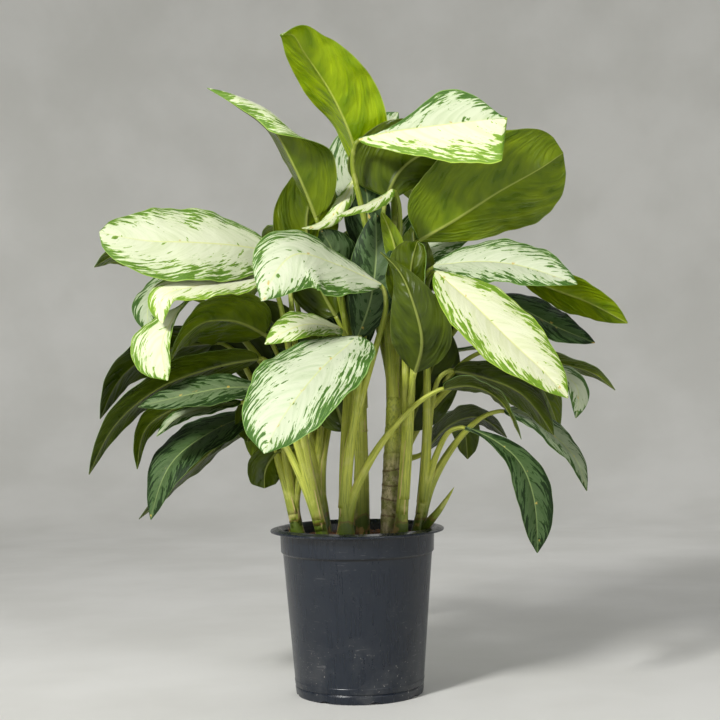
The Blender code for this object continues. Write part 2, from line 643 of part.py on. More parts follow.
def main():
    for old in list(bpy.data.objects):
        bpy.data.objects.remove(old)
    plant = group("potted_chinese_evergreen")
    leaf_finish = material("leaf", GREEN, 0.45)
    stalk_finish = material("stalk", STALK, 0.5)
    pot_object(plant, material("pot", SLATE, 0.45))
    soil_object(plant, material("soil", EARTH, 0.95))
    for name in SHOOTS:
        shoot_object(name, plant, stalk_finish)
    for number, (name, shape) in enumerate(LEAVES.items()):
        add("leaf_" + name, blade_mesh("leaf_" + name, shape, LEAF_PHASE * number), plant, leaf_finish)


main()
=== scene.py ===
"""A Chinese evergreen in a plastic nursery pot: finished leaves, stalks, soil and pot, in metres, +Z up.

Each leaf blade, shoot, the soil and the pot of the CAD model is replaced by a finer piece that follows
the same values. The soil is raised by a layer of mulch. FILLERS adds inner leaves that no solid stands for.
"""

import math

import bmesh
import bpy
import numpy as np
from mathutils import Matrix, Vector

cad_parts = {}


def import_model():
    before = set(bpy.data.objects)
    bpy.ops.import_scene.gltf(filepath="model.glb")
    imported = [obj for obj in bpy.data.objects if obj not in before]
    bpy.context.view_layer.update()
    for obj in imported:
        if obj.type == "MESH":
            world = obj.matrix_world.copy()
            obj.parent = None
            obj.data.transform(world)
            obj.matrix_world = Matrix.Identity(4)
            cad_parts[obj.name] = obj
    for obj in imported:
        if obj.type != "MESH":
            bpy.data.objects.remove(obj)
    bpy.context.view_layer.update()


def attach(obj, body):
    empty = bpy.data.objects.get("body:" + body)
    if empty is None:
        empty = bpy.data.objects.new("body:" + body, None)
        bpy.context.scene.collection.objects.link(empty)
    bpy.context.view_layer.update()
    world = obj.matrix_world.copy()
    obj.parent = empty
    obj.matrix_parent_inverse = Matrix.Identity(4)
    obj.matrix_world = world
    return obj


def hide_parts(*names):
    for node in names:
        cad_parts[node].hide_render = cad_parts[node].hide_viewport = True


CM = 0.01
MM = 0.001
GAP = 0.3 * MM

# The pot: outside radii from the lip down, and heights above the underside
POT_HEIGHT = 228 * MM
LIP_R = 120 * MM
LIP_DROP = 6.0 * MM
LIP_THICK = 2.6 * MM
MOUTH_R = 109 * MM
BAND_TOP_R = 106.5 * MM
BAND_R = 105.8 * MM
BAND_Z = 194 * MM
BAND_STEP = 2.6 * MM
FOOT_R = 87.5 * MM
GROOVE_Z = 12.5 * MM
GROOVE_DEPTH = 1.2 * MM
LINE_Z = 21 * MM
WALL = 2.2 * MM
FLOOR = 5.5 * MM
POT_STEPS = 144
NOTCHES, FIRST_NOTCH = 8, 0.3
NOTCH_WIDTH, NOTCH_HEIGHT, NOTCH_DEPTH = 17 * MM, 3.2 * MM, 9 * MM

# The soil
SOIL_TOP = 205 * MM
SOIL_MOUND, SOIL_FLAT = 4 * MM, 0.75
SOIL_ROUGH = 1.6 * MM
HOLE_DEPTH = 34 * MM
MULCH = 10 * MM
SOIL_RINGS, SOIL_STEPS = 64, 160
SOIL_LUMPS = ((0.035, 1.0), (0.012, 0.9), (0.005, 0.7))

# Crumbs in the mulch, and scraps of old sheaths at each cane. CRUMB_SIZE and HUSK_TALL are in mm
CRUMBS, CRUMB_EDGE = 1300, 5 * MM
CRUMB_SIZE, BIG_CRUMBS, BIG_CRUMB = (0.8, 2.4), 0.15, 1.6
HUSKS, HUSK_ROWS, HUSK_COLUMNS = 5, 9, 13
HUSK_TURN, HUSK_TALL = (0.35, 1.1), (6, 15)
HUSK_SUNK, HUSK_THICK = 3 * MM, 0.35 * MM

# The blades: a path of SAMPLES steps, and a grid of rows along and columns to each side
SAMPLES = 60
BLADE_ROWS = 64
BLADE_COLUMNS = 14
ROW_CROWDING = 0.05
COLUMN_CROWDING = 1.25
BLADE_THICK = 0.8 * MM
EDGE_THINNING = 0.5
RIB_DEPTH = 2.4 * MM
RIB_WIDE = 2.2 * MM
GROOVE_DEEP = 0.6 * MM
GROOVE_WIDE = 1.5 * MM
COLLAR_R = 3.0 * MM
POINT = 0.07
TIP_R = 0.9 * MM
END_SHARE = 6
SWELL, TAPER = 0.62, 0.86
NECK = 0.2
ROLL_RUN = (0.25, 0.6)
WAVES, SIDE_PHASE, LEAF_PHASE = 3.0, 0.37, 0.17
MINOR_WAVE = 0.35
VEIN_SLANT, VEIN_BEND, VEIN_POWER = 0.6, 1.9, 2.2
VEIN_SPACING = 18 * MM
QUILTING = 0.3 * MM

# The petioles and canes
PETIOLE_POINTS = 7
PETIOLE_BASE_R, PETIOLE_TAPER = 8.0 * MM, 1.15
FILLER_SHARE = 0.6
COLLAR_RUN = 4.0 * MM
FIRST_PETIOLE = 10 * MM
RISE = 0.4
LEVEL_OUT, LEVEL_OUT_MOST = 0.25, 35 * MM
STALK_ROWS, STALK_SIDES = 40, 20
CANE_ROWS, CANE_SIDES = 90, 28
CANE_NODES = 11
CANE_DOME = 0.03
CANE_TAPER = 0.35
CANE_TONE = 0.3
SHEATH_SHARE = 0.4
CHANNEL_WIDE, CHANNEL_DEEP = 0.45, 0.16
SHOULDER_TURN, SHOULDER_WIDE, SHOULDER_HIGH = 0.75, 0.3, 0.04
WING_HIGH = 0.16
WOODY = ("cane",)
WOODY_TOP = (0.30, 0.36)

# The studio: the camera's lens in mm, its place, and its angles in degrees
LENS = 70
EYE = (0.8 * CM, -194.4 * CM, 41.9 * CM)
EYE_PITCH, EYE_ROLL = 1.15, 0.995
FLOOR_R, SWEEP_R, WALL_TOP = 2.3, 1.0, 2.4
ROOM_STEPS = 96
AIR = 0.08
LIGHT_AIM = (0, 0, 0.45)
LIGHTS = (
    ("key", (-1.4, -2.0, 2.0), 0.5, 82, (1.0, 0.99, 0.965)),
    ("fill", (1.2, -1.9, 1.0), 1.0, 8, (0.99, 0.99, 1.0)),
    ("rim", (0.6, 2.0, 2.2), 2.0, 16, (1.0, 1.0, 1.0)),
)

# Each shoot: where its cane leaves the soil, where the cane ends, and its radius at both, all in cm
SHOOTS = {
    "left_outer": ((-7.7, -3.2), (-8.8, -3.6, 26.0), 1.10, 0.95),
    "left_front": ((-4.2, -6.6), (-5.4, -7.2, 25.5), 0.95, 0.85),
    "front_fan": ((-1.4, -7.4), (-1.6, -7.8, 27.0), 1.30, 1.15),
    "centre": ((0.6, 0.8), (1.0, 0.2, 46.0), 1.15, 0.95),
    "cane": ((4.2, -4.6), (5.3, -4.6, 41.0), 1.15, 0.95),
    "right_front": ((5.6, -6.3), (6.4, -6.9, 28.0), 1.10, 0.95),
    "right_outer": ((8.3, -1.8), (9.2, -1.9, 27.0), 1.10, 0.95),
    "back_left": ((-4.6, 5.2), (-6.0, 7.0, 34.0), 1.10, 0.90),
    "back_right": ((4.6, 5.6), (5.6, 7.4, 36.0), 1.10, 0.90),
}

# A furled new leaf of a shoot: its points and its largest radius, in cm
SPEARS = {
    "cane": (((5.2, -4.6, 40.0), (6.0, 1.0, 62.0), (6.6, 3.6, 76.0), (9.9, 4.0, 81.6)), 0.75),
    "right_outer": (((8.9, -1.9, 22.0), (9.8, -3.2, 23.4), (11.3, -4.6, 25.4), (13.2, -5.6, 28.4)), 0.55),
}


def leaf(
        shoot, width, facing, *spine, fold=(14, 14), curl=(-22, -22), roll=(0, 0), roll_run=ROLL_RUN,
        twist=0, wave=0.05, swell=SWELL, taper=TAPER, point=POINT, rise=RISE, age=0.5, right_age=0,
        cover=0.4, glow=0.3):
    """One blade, in cm and degrees.

    spine runs from the collar to the tip, and facing points out of the upper face at mid length. Seen
    along the blade with its upper face up, each pair is for the left and the right half: fold lifts the
    half about the midrib, curl bends it up towards its margin, and roll adds to that over roll_run.
    twist turns the tip about the midrib, and wave is the margin's ripple as a share of the half width.
    swell and taper say how fast the outline widens from the collar and narrows to the tip. They and width
    are single numbers, or pairs where the halves differ. point is the last share of the blade, over which
    the margin runs straight to the tip. rise is the share of its way that the petiole climbs along the
    cane before it turns to the blade. age runs from 0 for a young cream blade to 1 for an old dark one, and
    is set higher on blades in shadow to paint that shade. right_age is added to it on the right half, as
    painted light and shade between the halves of a folded blade. cover is how far the green reaches in
    from the margins, and glow is how bright the underside is painted, for light shining through it or
    shade on it.
    """
    width, swell, taper = (
        value if isinstance(value, tuple) else (value, value) for value in (width, swell, taper))
    return dict(
        shoot=shoot, width=width, facing=facing, spine=spine, fold=fold, curl=curl, roll=roll,
        roll_run=roll_run, twist=twist, wave=wave, swell=swell, taper=taper, point=point, rise=rise,
        age=age, right_age=right_age, cover=cover, glow=glow,
    )


LEAVES = {
    # The crown
    "crown_tall": leaf(
        "centre", (12.0, 8.8), (0.02, 0.9, 0.3),
        (1.5, 1, 71.2), (0.1, -1, 76.7), (-2.5, -4, 82.2), (-6.0, -8, 87.0), (-7.3, -9.9, 88.8),
        (-8.6, -12, 88.3),
        fold=(0, 70), curl=(-8, -15), roll=(0, -60), taper=(0.85, 0.7), point=0.03,
        age=0.25, cover=0.4, glow=1),
    "crown_left": leaf(
        "centre", 12.0, (0.15, 0.95, 0.2),
        (-4.9, -3.4, 65.4), (-7.7, -6, 72.1), (-10.7, -7, 77.4), (-15.1, -8.5, 80.3), (-18.8, -10, 81.9),
        fold=(0, 75), curl=(-10, -10), roll=(-170, 0), age=0.25, cover=0.35, glow=0.34),
    "crown_olive": leaf(
        "centre", 9.8, (-0.3, 0.9, 0.2),
        (-4.7, 5, 57.5), (-6.5, 4.5, 64.5), (-5.6, 4.5, 70), (-3.0, 3.5, 75),
        age=0.45, cover=0.4, glow=0.3),
    # Its right half, the lower flap of the fold, is painted lighter, as painted light on the flap.
    "crown_folded": leaf(
        "cane", (9.0, 13.2), (0.0, -0.75, 0.65),
        (1.3, -6.3, 75.4), (5.0, -7.8, 76.0), (9.8, -9, 76.4), (15.2, -10.5, 76.7), (20.6, -12, 76.9),
        fold=(66, -6), curl=(-14, -30), wave=0.03, swell=(3.2, 0.75), taper=(1.7, 0.1), point=0.03,
        age=0.46, cover=0.32, glow=0.5, right_age=-0.42),
    "crown_under": leaf(
        "cane", (8.0, 14.0), (0.0, 0.9, 0.4),
        (4.8, -2.5, 68), (6.9, -2.8, 71.8), (10.3, -2.8, 74.0), (17.5, -3.0, 75.2),
        fold=(14, 18), curl=(-22, -4), swell=(0.7, 0.35), taper=(0.8, 1.2), age=0.4, cover=0.4,
        glow=0.18),
    "right_broad": leaf(
        "cane", (14.2, 17.0), (-0.3, 0.85, 0.5),
        (9.3, 0, 62.3), (14.3, -0.5, 65.0), (20.5, -1, 68.8), (26.1, -1.5, 71.8), (29.6, 0, 74.2),
        fold=(8, 24), swell=(1.0, 0.32), taper=(0.48, 0.45), point=0.02, age=0.4, cover=0.4, glow=0.5),
    "curl_left": leaf(
        "centre", 2.8, (0.0, 0.0, 1.0),
        (0.3, -1, 70.4), (-1.3, -4, 67.2), (-3.2, -6.5, 64.5), (-6.6, -8.5, 63.3), fold=(0, 0),
        curl=(-95, 0),
        age=0.1, cover=0.5, glow=0.3),
    "curl_right": leaf(
        "cane", 3.0, (0.0, 0.0, 1.0),
        (5.5, -6, 68.4), (3.1, -9, 66.6), (0.1, -11.5, 65.3), (-2.1, -13.5, 64.1), fold=(0, 0),
        curl=(-95, 0),
        age=0.1, cover=0.5, glow=0.3),
    # Its high age paints the shade this blade lies in.
    "centre_pale": leaf(
        "front_fan", 7.0, (0, -0.95, 0.2),
        (0.4, -5, 48.6), (2.3, -7, 53.5), (3.2, -7, 59.5), (3.2, -6, 65.5), swell=0.9,
        age=0.92, cover=0.95, glow=0.2),
    "centre_rolled": leaf(
        "right_front", 6.6, (-0.2, 0.95, 0.1),
        (7.9, -6.8, 52.4), (7.6, -8.2, 55.5), (7.9, -9.2, 58.5), (8.7, -8.2, 61.3),
        curl=(-30, -22), roll=(-110, 0), roll_run=(0.1, 0.45), taper=0.6, age=0.35, cover=0.6, glow=0.18),
    "centre_olive": leaf(
        "right_front", 8.0, (0, 0.95, 0.2),
        (8.1, -9, 44.0), (8.9, -12, 48.0), (7.8, -12.5, 53.0), (6.2, -12, 56.9), (3.7, -12, 59.6),
        swell=0.9, taper=1.8, age=0.5, cover=0.4, glow=0.1),
    "back_pale": leaf(
        "back_right", 10.0, (0, -0.9, 0.3),
        (-0.9, 9, 69), (1.0, 10, 74.5), (4.3, 10, 79), (7.0, 9, 82), age=0.6, cover=0.5, glow=0.5),
    "back_silver": leaf(
        "back_right", 9.0, (0, -0.9, 0.4),
        (7.4, 4, 58.5), (10.4, 5, 63), (14.3, 6, 65), (19.8, 6, 66.3), age=0.6, cover=0.35, glow=0.4),
    "inner_dark": leaf(
        "centre", 8.0, (0.3, -0.8, 0.3),
        (-1.6, -2.8, 55), (-2.2, -4.6, 58.5), (-3.0, -6, 61.2), (-4.3, -6.8, 63.2),
        age=0.9, cover=0.9, glow=0.3),
    # The left side
    "front_low": leaf(
        "front_fan", 15.8, (-0.2, -0.85, 0.5),
        (0.5, -12, 48.4), (-3.6, -17, 44.9), (-6.8, -20.5, 41.2), (-9.4, -22, 37.5), (-11.1, -23, 34.1),
        fold=(38, 4), curl=(-32, -22), swell=(0.62, 0.66), taper=0.62, age=0.5, cover=0.33, glow=0.3),
    "front_high": leaf(
        "front_fan", (11.8, 10.6), (-0.1, -0.7, 0.7),
        (3.6, -10.5, 55.4), (-2.0, -14, 57.9), (-7.4, -18, 58.8), (-11.3, -21, 52.9), fold=(-8, 14),
        swell=(0.9, 1.3), taper=(0.86, 1.15), age=0.42, cover=0.25, glow=0.3),
    "left_big": leaf(
        "left_front", 12.5, (-0.1, -0.85, 0.5),
        (-10.4, -6, 60.4), (-15.5, -10, 61.0), (-21.0, -13, 61.2), (-26.6, -15, 61.3), (-32.2, -16, 62.4),
        fold=(8, 8), taper=0.55, point=0.03, age=0.28, cover=0.28, glow=0.4),
    "left_mid": leaf(
        "left_front", 8.6, (-0.1, -0.6, 0.8),
        (-12.0, -10, 56.7), (-16.6, -13, 55.9), (-20.8, -16, 55.1), (-24.0, -17.5, 53.8),
        (-24.0, -18, 50.5),
        age=0.05, cover=0.2, glow=0.5),
    "left_hook": leaf(
        "back_left", (3.6, 8.4), (-0.5, -0.8, 0.3),
        (-21.5, -12, 53.8), (-23.3, -15, 50.8), (-24.3, -16.5, 47.8), (-23.6, -17, 43.3),
        fold=(30, 30), swell=1.9, taper=0.9, age=0.22, cover=0.4, glow=0.4),
    "left_olive": leaf(
        "left_front", 10.0, (-0.2, 0.6, 0.75),
        (-12.2, -4, 49.5), (-15.8, -8, 51.1), (-19.5, -11, 50.9), (-22.0, -13, 48.9), (-23.6, -14, 45.8),
        age=0.5, cover=0.4, glow=0.32),
    "inner_pale": leaf(
        "front_fan", 6.4, (-0.2, -0.8, 0.5),
        (-1.9, -4.8, 49.9), (-5.5, -8.6, 50.5), (-8.3, -11.5, 49.7), (-11.5, -12.8, 47.8),
        age=0.15, cover=0.5, glow=0.3),
    "left_tip": leaf(
        "back_left", 8.0, (-0.3, 0.3, 0.9),
        (-23.6, -1, 60.0), (-28.7, -3.5, 60.8), (-32.4, -5, 60.4), (-34.8, -6, 58.8),
        age=0.5, cover=0.4, glow=0.45),
    "left_silver": leaf(
        "back_left", 7.5, (-0.5, -0.7, 0.5),
        (-20.3, -4.5, 58.2), (-24.5, -6, 56.2), (-27.2, -8, 53.2), (-26.9, -9, 49.8),
        age=0.7, cover=0.5, glow=0.3),
    "low_fern": leaf(
        "left_outer", 8.0, (-0.4, 0.6, 0.7),
        (-19.1, 0, 48.6), (-26.3, -4, 47.4), (-31.1, -6.5, 44.2), (-33.9, -8, 38.4), rise=0.5,
        age=0.8, cover=0.6, glow=0.12),
    "low_long": leaf(
        "left_outer", 8.0, (-0.45, 0.45, 0.75),
        (-13.0, -5, 46.2), (-19.9, -8, 44.7), (-26.2, -10.5, 42.1), (-31.3, -12, 37.6),
        (-34.6, -12.5, 31.3),
        age=0.8, cover=0.65, glow=0.1),
    "low_blade": leaf(
        "left_front", 7.0, (-0.1, -0.6, 0.8),
        (-12.2, -11, 42.1), (-16.7, -14, 42.2), (-21.6, -16, 41.3), (-27.3, -17.5, 40.0),
        age=0.88, cover=0.8, glow=0.1),
    "low_hanging": leaf(
        "left_outer", 6.0, (-0.6, 0.4, 0.6),
        (-17.7, -4.5, 42.0), (-23.4, -7, 40.0), (-27.8, -8, 37.1), (-28.9, -9, 31.7), rise=0.55,
        age=0.8, cover=0.6, glow=0.2),
    "low_small": leaf(
        "left_front", 5.5, (-0.3, -0.4, 0.9),
        (-15.2, -9, 40.3), (-19.7, -11, 39.6), (-23.1, -12, 38.4), (-25.7, -13, 36.1),
        age=0.7, cover=0.65, glow=0.3),
    "low_drooping": leaf(
        "left_outer", 8.5, (-0.6, -0.75, 0.35),
        (-13.8, 0.8, 38.6), (-19.0, -4, 36.6), (-24.5, -8, 32.3), (-27.2, -9, 25.0),
        age=0.97, cover=0.9, glow=0.12),
    "low_behind": leaf(
        "left_outer", 7.5, (-0.6, 0.3, 0.7),
        (-12.7, 5, 38.4), (-18.1, 3.2, 35.2), (-24.2, 0, 30.0), (-29.8, -2.5, 24.5),
        age=0.98, cover=0.93, glow=0.1),
    # The right side
    "right_upper": leaf(
        "cane", 10.3, (0.2, -0.75, 0.65),
        (11.3, -2, 58.4), (16.3, -4.5, 58.8), (21.4, -7.3, 58.1), (25.9, -10.5, 56.4),
        (29.2, -12.5, 54.9),
        age=0.5, cover=0.42, glow=0.4),
    "right_tip": leaf(
        "back_right", 6.8, (0.2, 0.7, 0.7),
        (22.5, 2, 58.0), (27.4, -1, 55.3), (32.4, -3, 53.0), (37.3, -4, 50.1), swell=0.9,
        age=0.5, cover=0.4, glow=0.6),
    "right_front": leaf(
        "right_outer", 10.2, (0.3, -0.85, 0.4),
        (11.1, -9, 57.0), (15.4, -13.2, 52.7), (19.9, -16.5, 47.6), (24.0, -18.4, 43.4),
        (26.7, -19.4, 40.2),
        swell=0.8, age=0.03, cover=0.3, glow=0.5),
    "right_long": leaf(
        "right_outer", 6.0, (0.45, -0.8, 0.4),
        (15.0, -4, 36.2), (18.6, -5.5, 34.6), (21.8, -7, 31.7), (23.4, -8.5, 27.3), (23.7, -9.5, 19.8),
        fold=(18, 18), swell=1.5, taper=0.9, age=0.97, cover=0.9, glow=0.3),
    "right_drooping": leaf(
        "right_outer", 5.5, (0.5, -0.6, 0.6),
        (21.0, 2.5, 38.3), (25.0, 1.8, 37.2), (28.3, 1, 34.2), (30.5, 0.5, 31.5), (31.9, 0, 27.1),
        age=0.78, cover=0.52, glow=0.2),
    "right_dark": leaf(
        "right_outer", 8.0, (0.3, 0.5, 0.8),
        (13.7, -3, 44.1), (18.2, -4, 42.9), (22.8, -4.5, 40.6), (26.8, -5, 35.1),
        age=0.85, cover=0.65, glow=0.08),
    "right_edge": leaf(
        "front_fan", 7.0, (0.3, 0.2, 0.9),
        (11.9, -9.5, 41.7), (15.8, -11, 41.9), (19.0, -12, 40.0), (21.5, -13, 34.9),
        age=0.75, cover=0.55, glow=0.1),
    "right_back_high": leaf(
        "back_right", 7.0, (0.25, -0.75, 0.6),
        (20.7, 3, 54.4), (24.7, 1.5, 52.0), (28.6, 0, 49.7), (33.3, -1, 47.6),
        age=0.97, cover=0.95, glow=0.3),
    "right_back_low": leaf(
        "back_right", 6.5, (0.3, 0.3, 0.9),
        (19.0, 1, 46.8), (24.0, 0, 46.0), (29.5, -2, 44.6), (33.0, -2.5, 43.3), (35.6, -3, 41.0),
        age=0.8, cover=0.6, glow=0.25),
    "right_pale": leaf(
        "back_right", 6.0, (0.6, -0.6, 0.5),
        (21.5, -5, 45.6), (26.0, -8, 44.0), (29.2, -10, 41.6), (28.9, -11, 37.5), rise=0.55,
        age=0.6, cover=0.35, glow=0.3),
    # The back, which is guessed
    "rear_left": leaf(
        "back_left", 10.0, (-0.3, 0.3, 0.9),
        (-13, 10, 50), (-20, 16, 50), (-27, 20, 45), (-31, 21, 38), age=0.6, cover=0.5, glow=0.3),
    "rear_left_high": leaf(
        "back_left", 10.5, (-0.3, 0.4, 0.9),
        (-9.5, 10, 57.5), (-14.5, 18, 59.5), (-19, 24, 56.5), (-22, 28, 50), age=0.4, cover=0.4,
        glow=0.4),
    "rear_middle": leaf(
        "back_left", 11.0, (0, 0.9, 0.4),
        (-0.5, 9.5, 50), (-0.8, 13, 56), (0.2, 16, 62), (2.5, 18, 67), age=0.5, cover=0.4, glow=0.4),
    "rear_right_high": leaf(
        "back_right", 10.5, (0.4, 0.4, 0.9),
        (9, 12, 56), (14, 19, 58), (19, 25, 54), (22, 28, 46), age=0.45, cover=0.4, glow=0.4),
    "rear_right": leaf(
        "back_right", 10.0, (0.4, 0.3, 0.9),
        (14, 9, 47), (22, 14, 47), (28, 18, 42), (31, 19, 35), age=0.65, cover=0.5, glow=0.3),
    "rear_low_left": leaf(
        "back_left", 9.5, (-0.3, 0.5, 0.8),
        (-8, 12, 40), (-11, 19, 40.5), (-13.5, 24, 36), (-12.5, 26, 28.5), taper=0.6,
        age=0.8, cover=0.6, glow=0.2),
    "rear_low_right": leaf(
        "back_right", 6.0, (0.3, 0.5, 0.8),
        (9.5, 13, 36.5), (13.3, 18, 37.8), (16.5, 22, 35.8), (17.2, 23, 30.6), taper=0.6,
        age=0.8, cover=0.6, glow=0.2),
    "rear_crown": leaf(
        "back_right", 10.0, (0.2, 0.4, 0.9),
        (3, 8, 68), (5, 14, 73), (8, 21, 75), (10, 27, 71), age=0.3, cover=0.35, glow=0.5),
    "rear_crown_left": leaf(
        "back_left", 9.5, (-0.3, 0.4, 0.9),
        (-3, 9, 62), (-6.5, 15, 66), (-10.5, 20, 66), (-14, 24, 62.5), age=0.35, cover=0.4, glow=0.5),
}

# Inner leaves that no solid stands for. Those called dark and shade are guessed, to close up the middle;
# their high age and low glow paint the shade there.
FILLERS = {
    "lobe_upper": leaf(
        "left_outer", 6.5, (-0.4, 0.8, 0.4),
        (-7.5, 0, 40.0), (-10.5, -1, 40.6), (-13.6, -2, 38.6), (-14.8, -2.5, 34.8),
        taper=0.5, age=0.9, cover=0.7, glow=0.08),
    "lobe_lower": leaf(
        "left_outer", 5.4, (-0.3, 0.9, 0.3),
        (-8.4, -3.5, 34.0), (-10.6, -4, 33.4), (-12.2, -4.6, 31.2), (-12.4, -5, 28.6),
        taper=0.4, age=0.9, cover=0.7, glow=0.12),
    "dark_low_right": leaf(
        "back_right", 8.0, (0.2, -0.2, 0.95),
        (9.0, 4.5, 39.0), (13.0, 5, 43), (17.5, 5, 43.5), (22.0, 4, 40),
        age=0.95, cover=0.9, glow=0.1),
    "dark_side_right": leaf(
        "back_right", 8.0, (-0.2, 0.8, 0.4),
        (8.0, 3, 42.0), (9.8, 3.5, 47), (12.0, 4, 52), (15.0, 4, 56),
        age=0.9, cover=0.8, glow=0.12),
    "dark_side_left": leaf(
        "back_left", 8.5, (0.2, 0.8, 0.4),
        (-5.5, 3.5, 42.0), (-8.5, 3, 47.5), (-11.5, 2.5, 51.5), (-15.5, 2, 54),
        age=0.9, cover=0.8, glow=0.12),
    "dark_middle": leaf(
        "centre", 8.5, (0.1, -0.9, 0.3),
        (0.5, 3.5, 47.0), (-0.5, 3.2, 52), (-1.2, 3, 58), (-1.0, 3, 64),
        age=0.9, cover=0.9, glow=0.12),
    "dark_inner": leaf(
        "centre", 8.0, (-0.3, -0.7, 0.6),
        (-2.0, 2, 41.0), (-5.0, 1, 44.5), (-8.5, 0, 46), (-12.0, -0.5, 45),
        age=0.9, cover=0.85, glow=0.12),
    "cup": leaf(
        "centre", 6.5, (0.1, -0.9, 0.3),
        (2.0, -1.2, 61.0), (2.2, -1.8, 64.5), (2.2, -1.6, 68), (1.6, -1.0, 71.5),
        age=0.95, cover=0.95, glow=0.1),
    "young": leaf(
        "right_front", 2.8, (-0.2, 0.9, 0.2),
        (6.4, -6.2, 56.5), (6.0, -7, 59.5), (5.2, -7.3, 62.5), (4.0, -7, 65.5),
        age=0.2, cover=0.3, glow=0.6),
    "shade_left": leaf(
        "left_outer", 8.5, (-0.2, 0.8, 0.5),
        (-8.5, 1.5, 41.5), (-12.0, 1.5, 45.5), (-16.0, 1, 47.5), (-20.5, 0, 47.0),
        age=0.9, cover=0.8, glow=0.06),
    "shade_left_low": leaf(
        "left_outer", 7.0, (-0.4, 0.5, 0.7),
        (-9.0, 3, 35.0), (-13.0, 3.5, 37.5), (-17.5, 3, 36.5), (-21.0, 2, 32.5),
        age=0.9, cover=0.8, glow=0.05),
    "shade_middle": leaf(
        "centre", 9.0, (0.1, 0.9, 0.2),
        (-1.5, 1.6, 36.0), (-3.0, 1.8, 41), (-4.0, 1.8, 46), (-4.5, 1.5, 51.5),
        age=0.9, cover=0.9, glow=0.05),
    "shade_right": leaf(
        "back_right", 9.0, (0.2, 0.8, 0.5),
        (7.5, 2.2, 36.0), (9.5, 2.6, 41), (11.5, 2.8, 46), (12.5, 2.6, 51),
        age=0.9, cover=0.9, glow=0.05),
    "shade_right_low": leaf(
        "back_right", 7.5, (0.3, 0.4, 0.9),
        (10.0, 5, 33.0), (13.5, 6, 36.5), (17.5, 6, 37.5), (21.5, 5, 34.5),
        age=0.9, cover=0.85, glow=0.05),
    "shade_high_left": leaf(
        "centre", 8.0, (-0.1, 0.9, 0.3),
        (-2.5, 0.6, 52.0), (-4.6, 0.4, 56), (-6.2, 0, 60), (-9.0, -0.5, 63.5),
        age=0.8, cover=0.8, glow=0.12),
    "shade_high_right": leaf(
        "cane", 7.0, (0.1, 0.9, 0.3),
        (6.2, -0.5, 52.0), (7.6, -0.2, 56), (8.4, 0.2, 60), (8.6, 0.4, 64.5),
        age=0.8, cover=0.8, glow=0.14),
}


def unit(rows):
    return rows / np.linalg.norm(rows, axis=-1, keepdims=True)


def smooth_path(points, count):
    """count + 1 evenly spread points on a smooth curve through the given ones."""
    p = np.array(points, float)
    knots = np.concatenate([[0], np.cumsum(np.sqrt(np.linalg.norm(np.diff(p, axis=0), axis=1)))])
    slopes = np.diff(p, axis=0) / np.diff(knots)[:, None]
    ahead, behind = np.diff(knots)[1:, None], np.diff(knots)[:-1, None]
    inner = (slopes[:-1] * ahead + slopes[1:] * behind) / (ahead + behind)
    tangents = np.vstack([1.5 * slopes[0] - 0.5 * inner[0], inner, 1.5 * slopes[-1] - 0.5 * inner[-1]])
    t = np.linspace(0, knots[-1], 20 * count + 1)
    i = np.clip(np.searchsorted(knots, t, side="right") - 1, 0, len(p) - 2)
    h = (knots[i + 1] - knots[i])[:, None]
    s = (t - knots[i])[:, None] / h
    dense = (
        (2 * s**3 - 3 * s**2 + 1) * p[i]
        + (s**3 - 2 * s**2 + s) * h * tangents[i]
        + (3 * s**2 - 2 * s**3) * p[i + 1]
        + (s**3 - s**2) * h * tangents[i + 1]
    )
    run = np.concatenate([[0], np.cumsum(np.linalg.norm(np.diff(dense, axis=0), axis=1))])
    even = np.linspace(0, run[-1], count + 1)
    return np.column_stack([np.interp(even, run, dense[:, k]) for k in range(3)])


def blade_frames(shape):
    """Points, tangents and upper normals along a blade's midrib, SAMPLES + 1 of each."""
    path = smooth_path(np.array(shape["spine"]) * CM, SAMPLES)
    along = unit(np.gradient(path, axis=0))
    normals = np.zeros_like(path)
    middle = SAMPLES // 2
    for order in (range(middle, SAMPLES + 1), range(middle, -1, -1)):
        normal = np.array(shape["facing"], float)
        for i in order:
            normal = unit(normal - (normal @ along[i]) * along[i])
            normals[i] = normal
    angle = np.radians(shape["twist"]) * (np.linspace(0, 1, SAMPLES + 1) - 0.5)[:, None]
    normals = normals * np.cos(angle) + np.cross(along, normals) * np.sin(angle)
    return path, along, normals


def blade_half_width(shape, side, u):
    """The width of one half of the blade at u, from 0 at the collar to 1 at the tip."""
    width, swell, taper = (np.take(shape[key], side) for key in ("width", "swell", "taper"))
    peak = swell / (swell + taper)
    body = np.minimum(u, 1 - shape["point"])
    straight = np.minimum(1.0, (1 - u) / shape["point"])
    share = (body / peak) ** swell * ((1 - body) / (1 - peak)) ** taper * straight
    return width * CM / 2 * share + COLLAR_R * (1 - u) ** END_SHARE + TIP_R * u**END_SHARE


def smooth_step(low, high, x):
    t = np.clip((x - low) / (high - low), 0, 1)
    return t * t * (3 - 2 * t)


def bell(x, width):
    return np.exp(-(x / width) ** 2)


def vein_place(along, x, half, t):
    """Equal along one side vein, which leaves the midrib at a slant and bends towards the tip."""
    return along - VEIN_SLANT * x - VEIN_BEND * half * t**VEIN_POWER


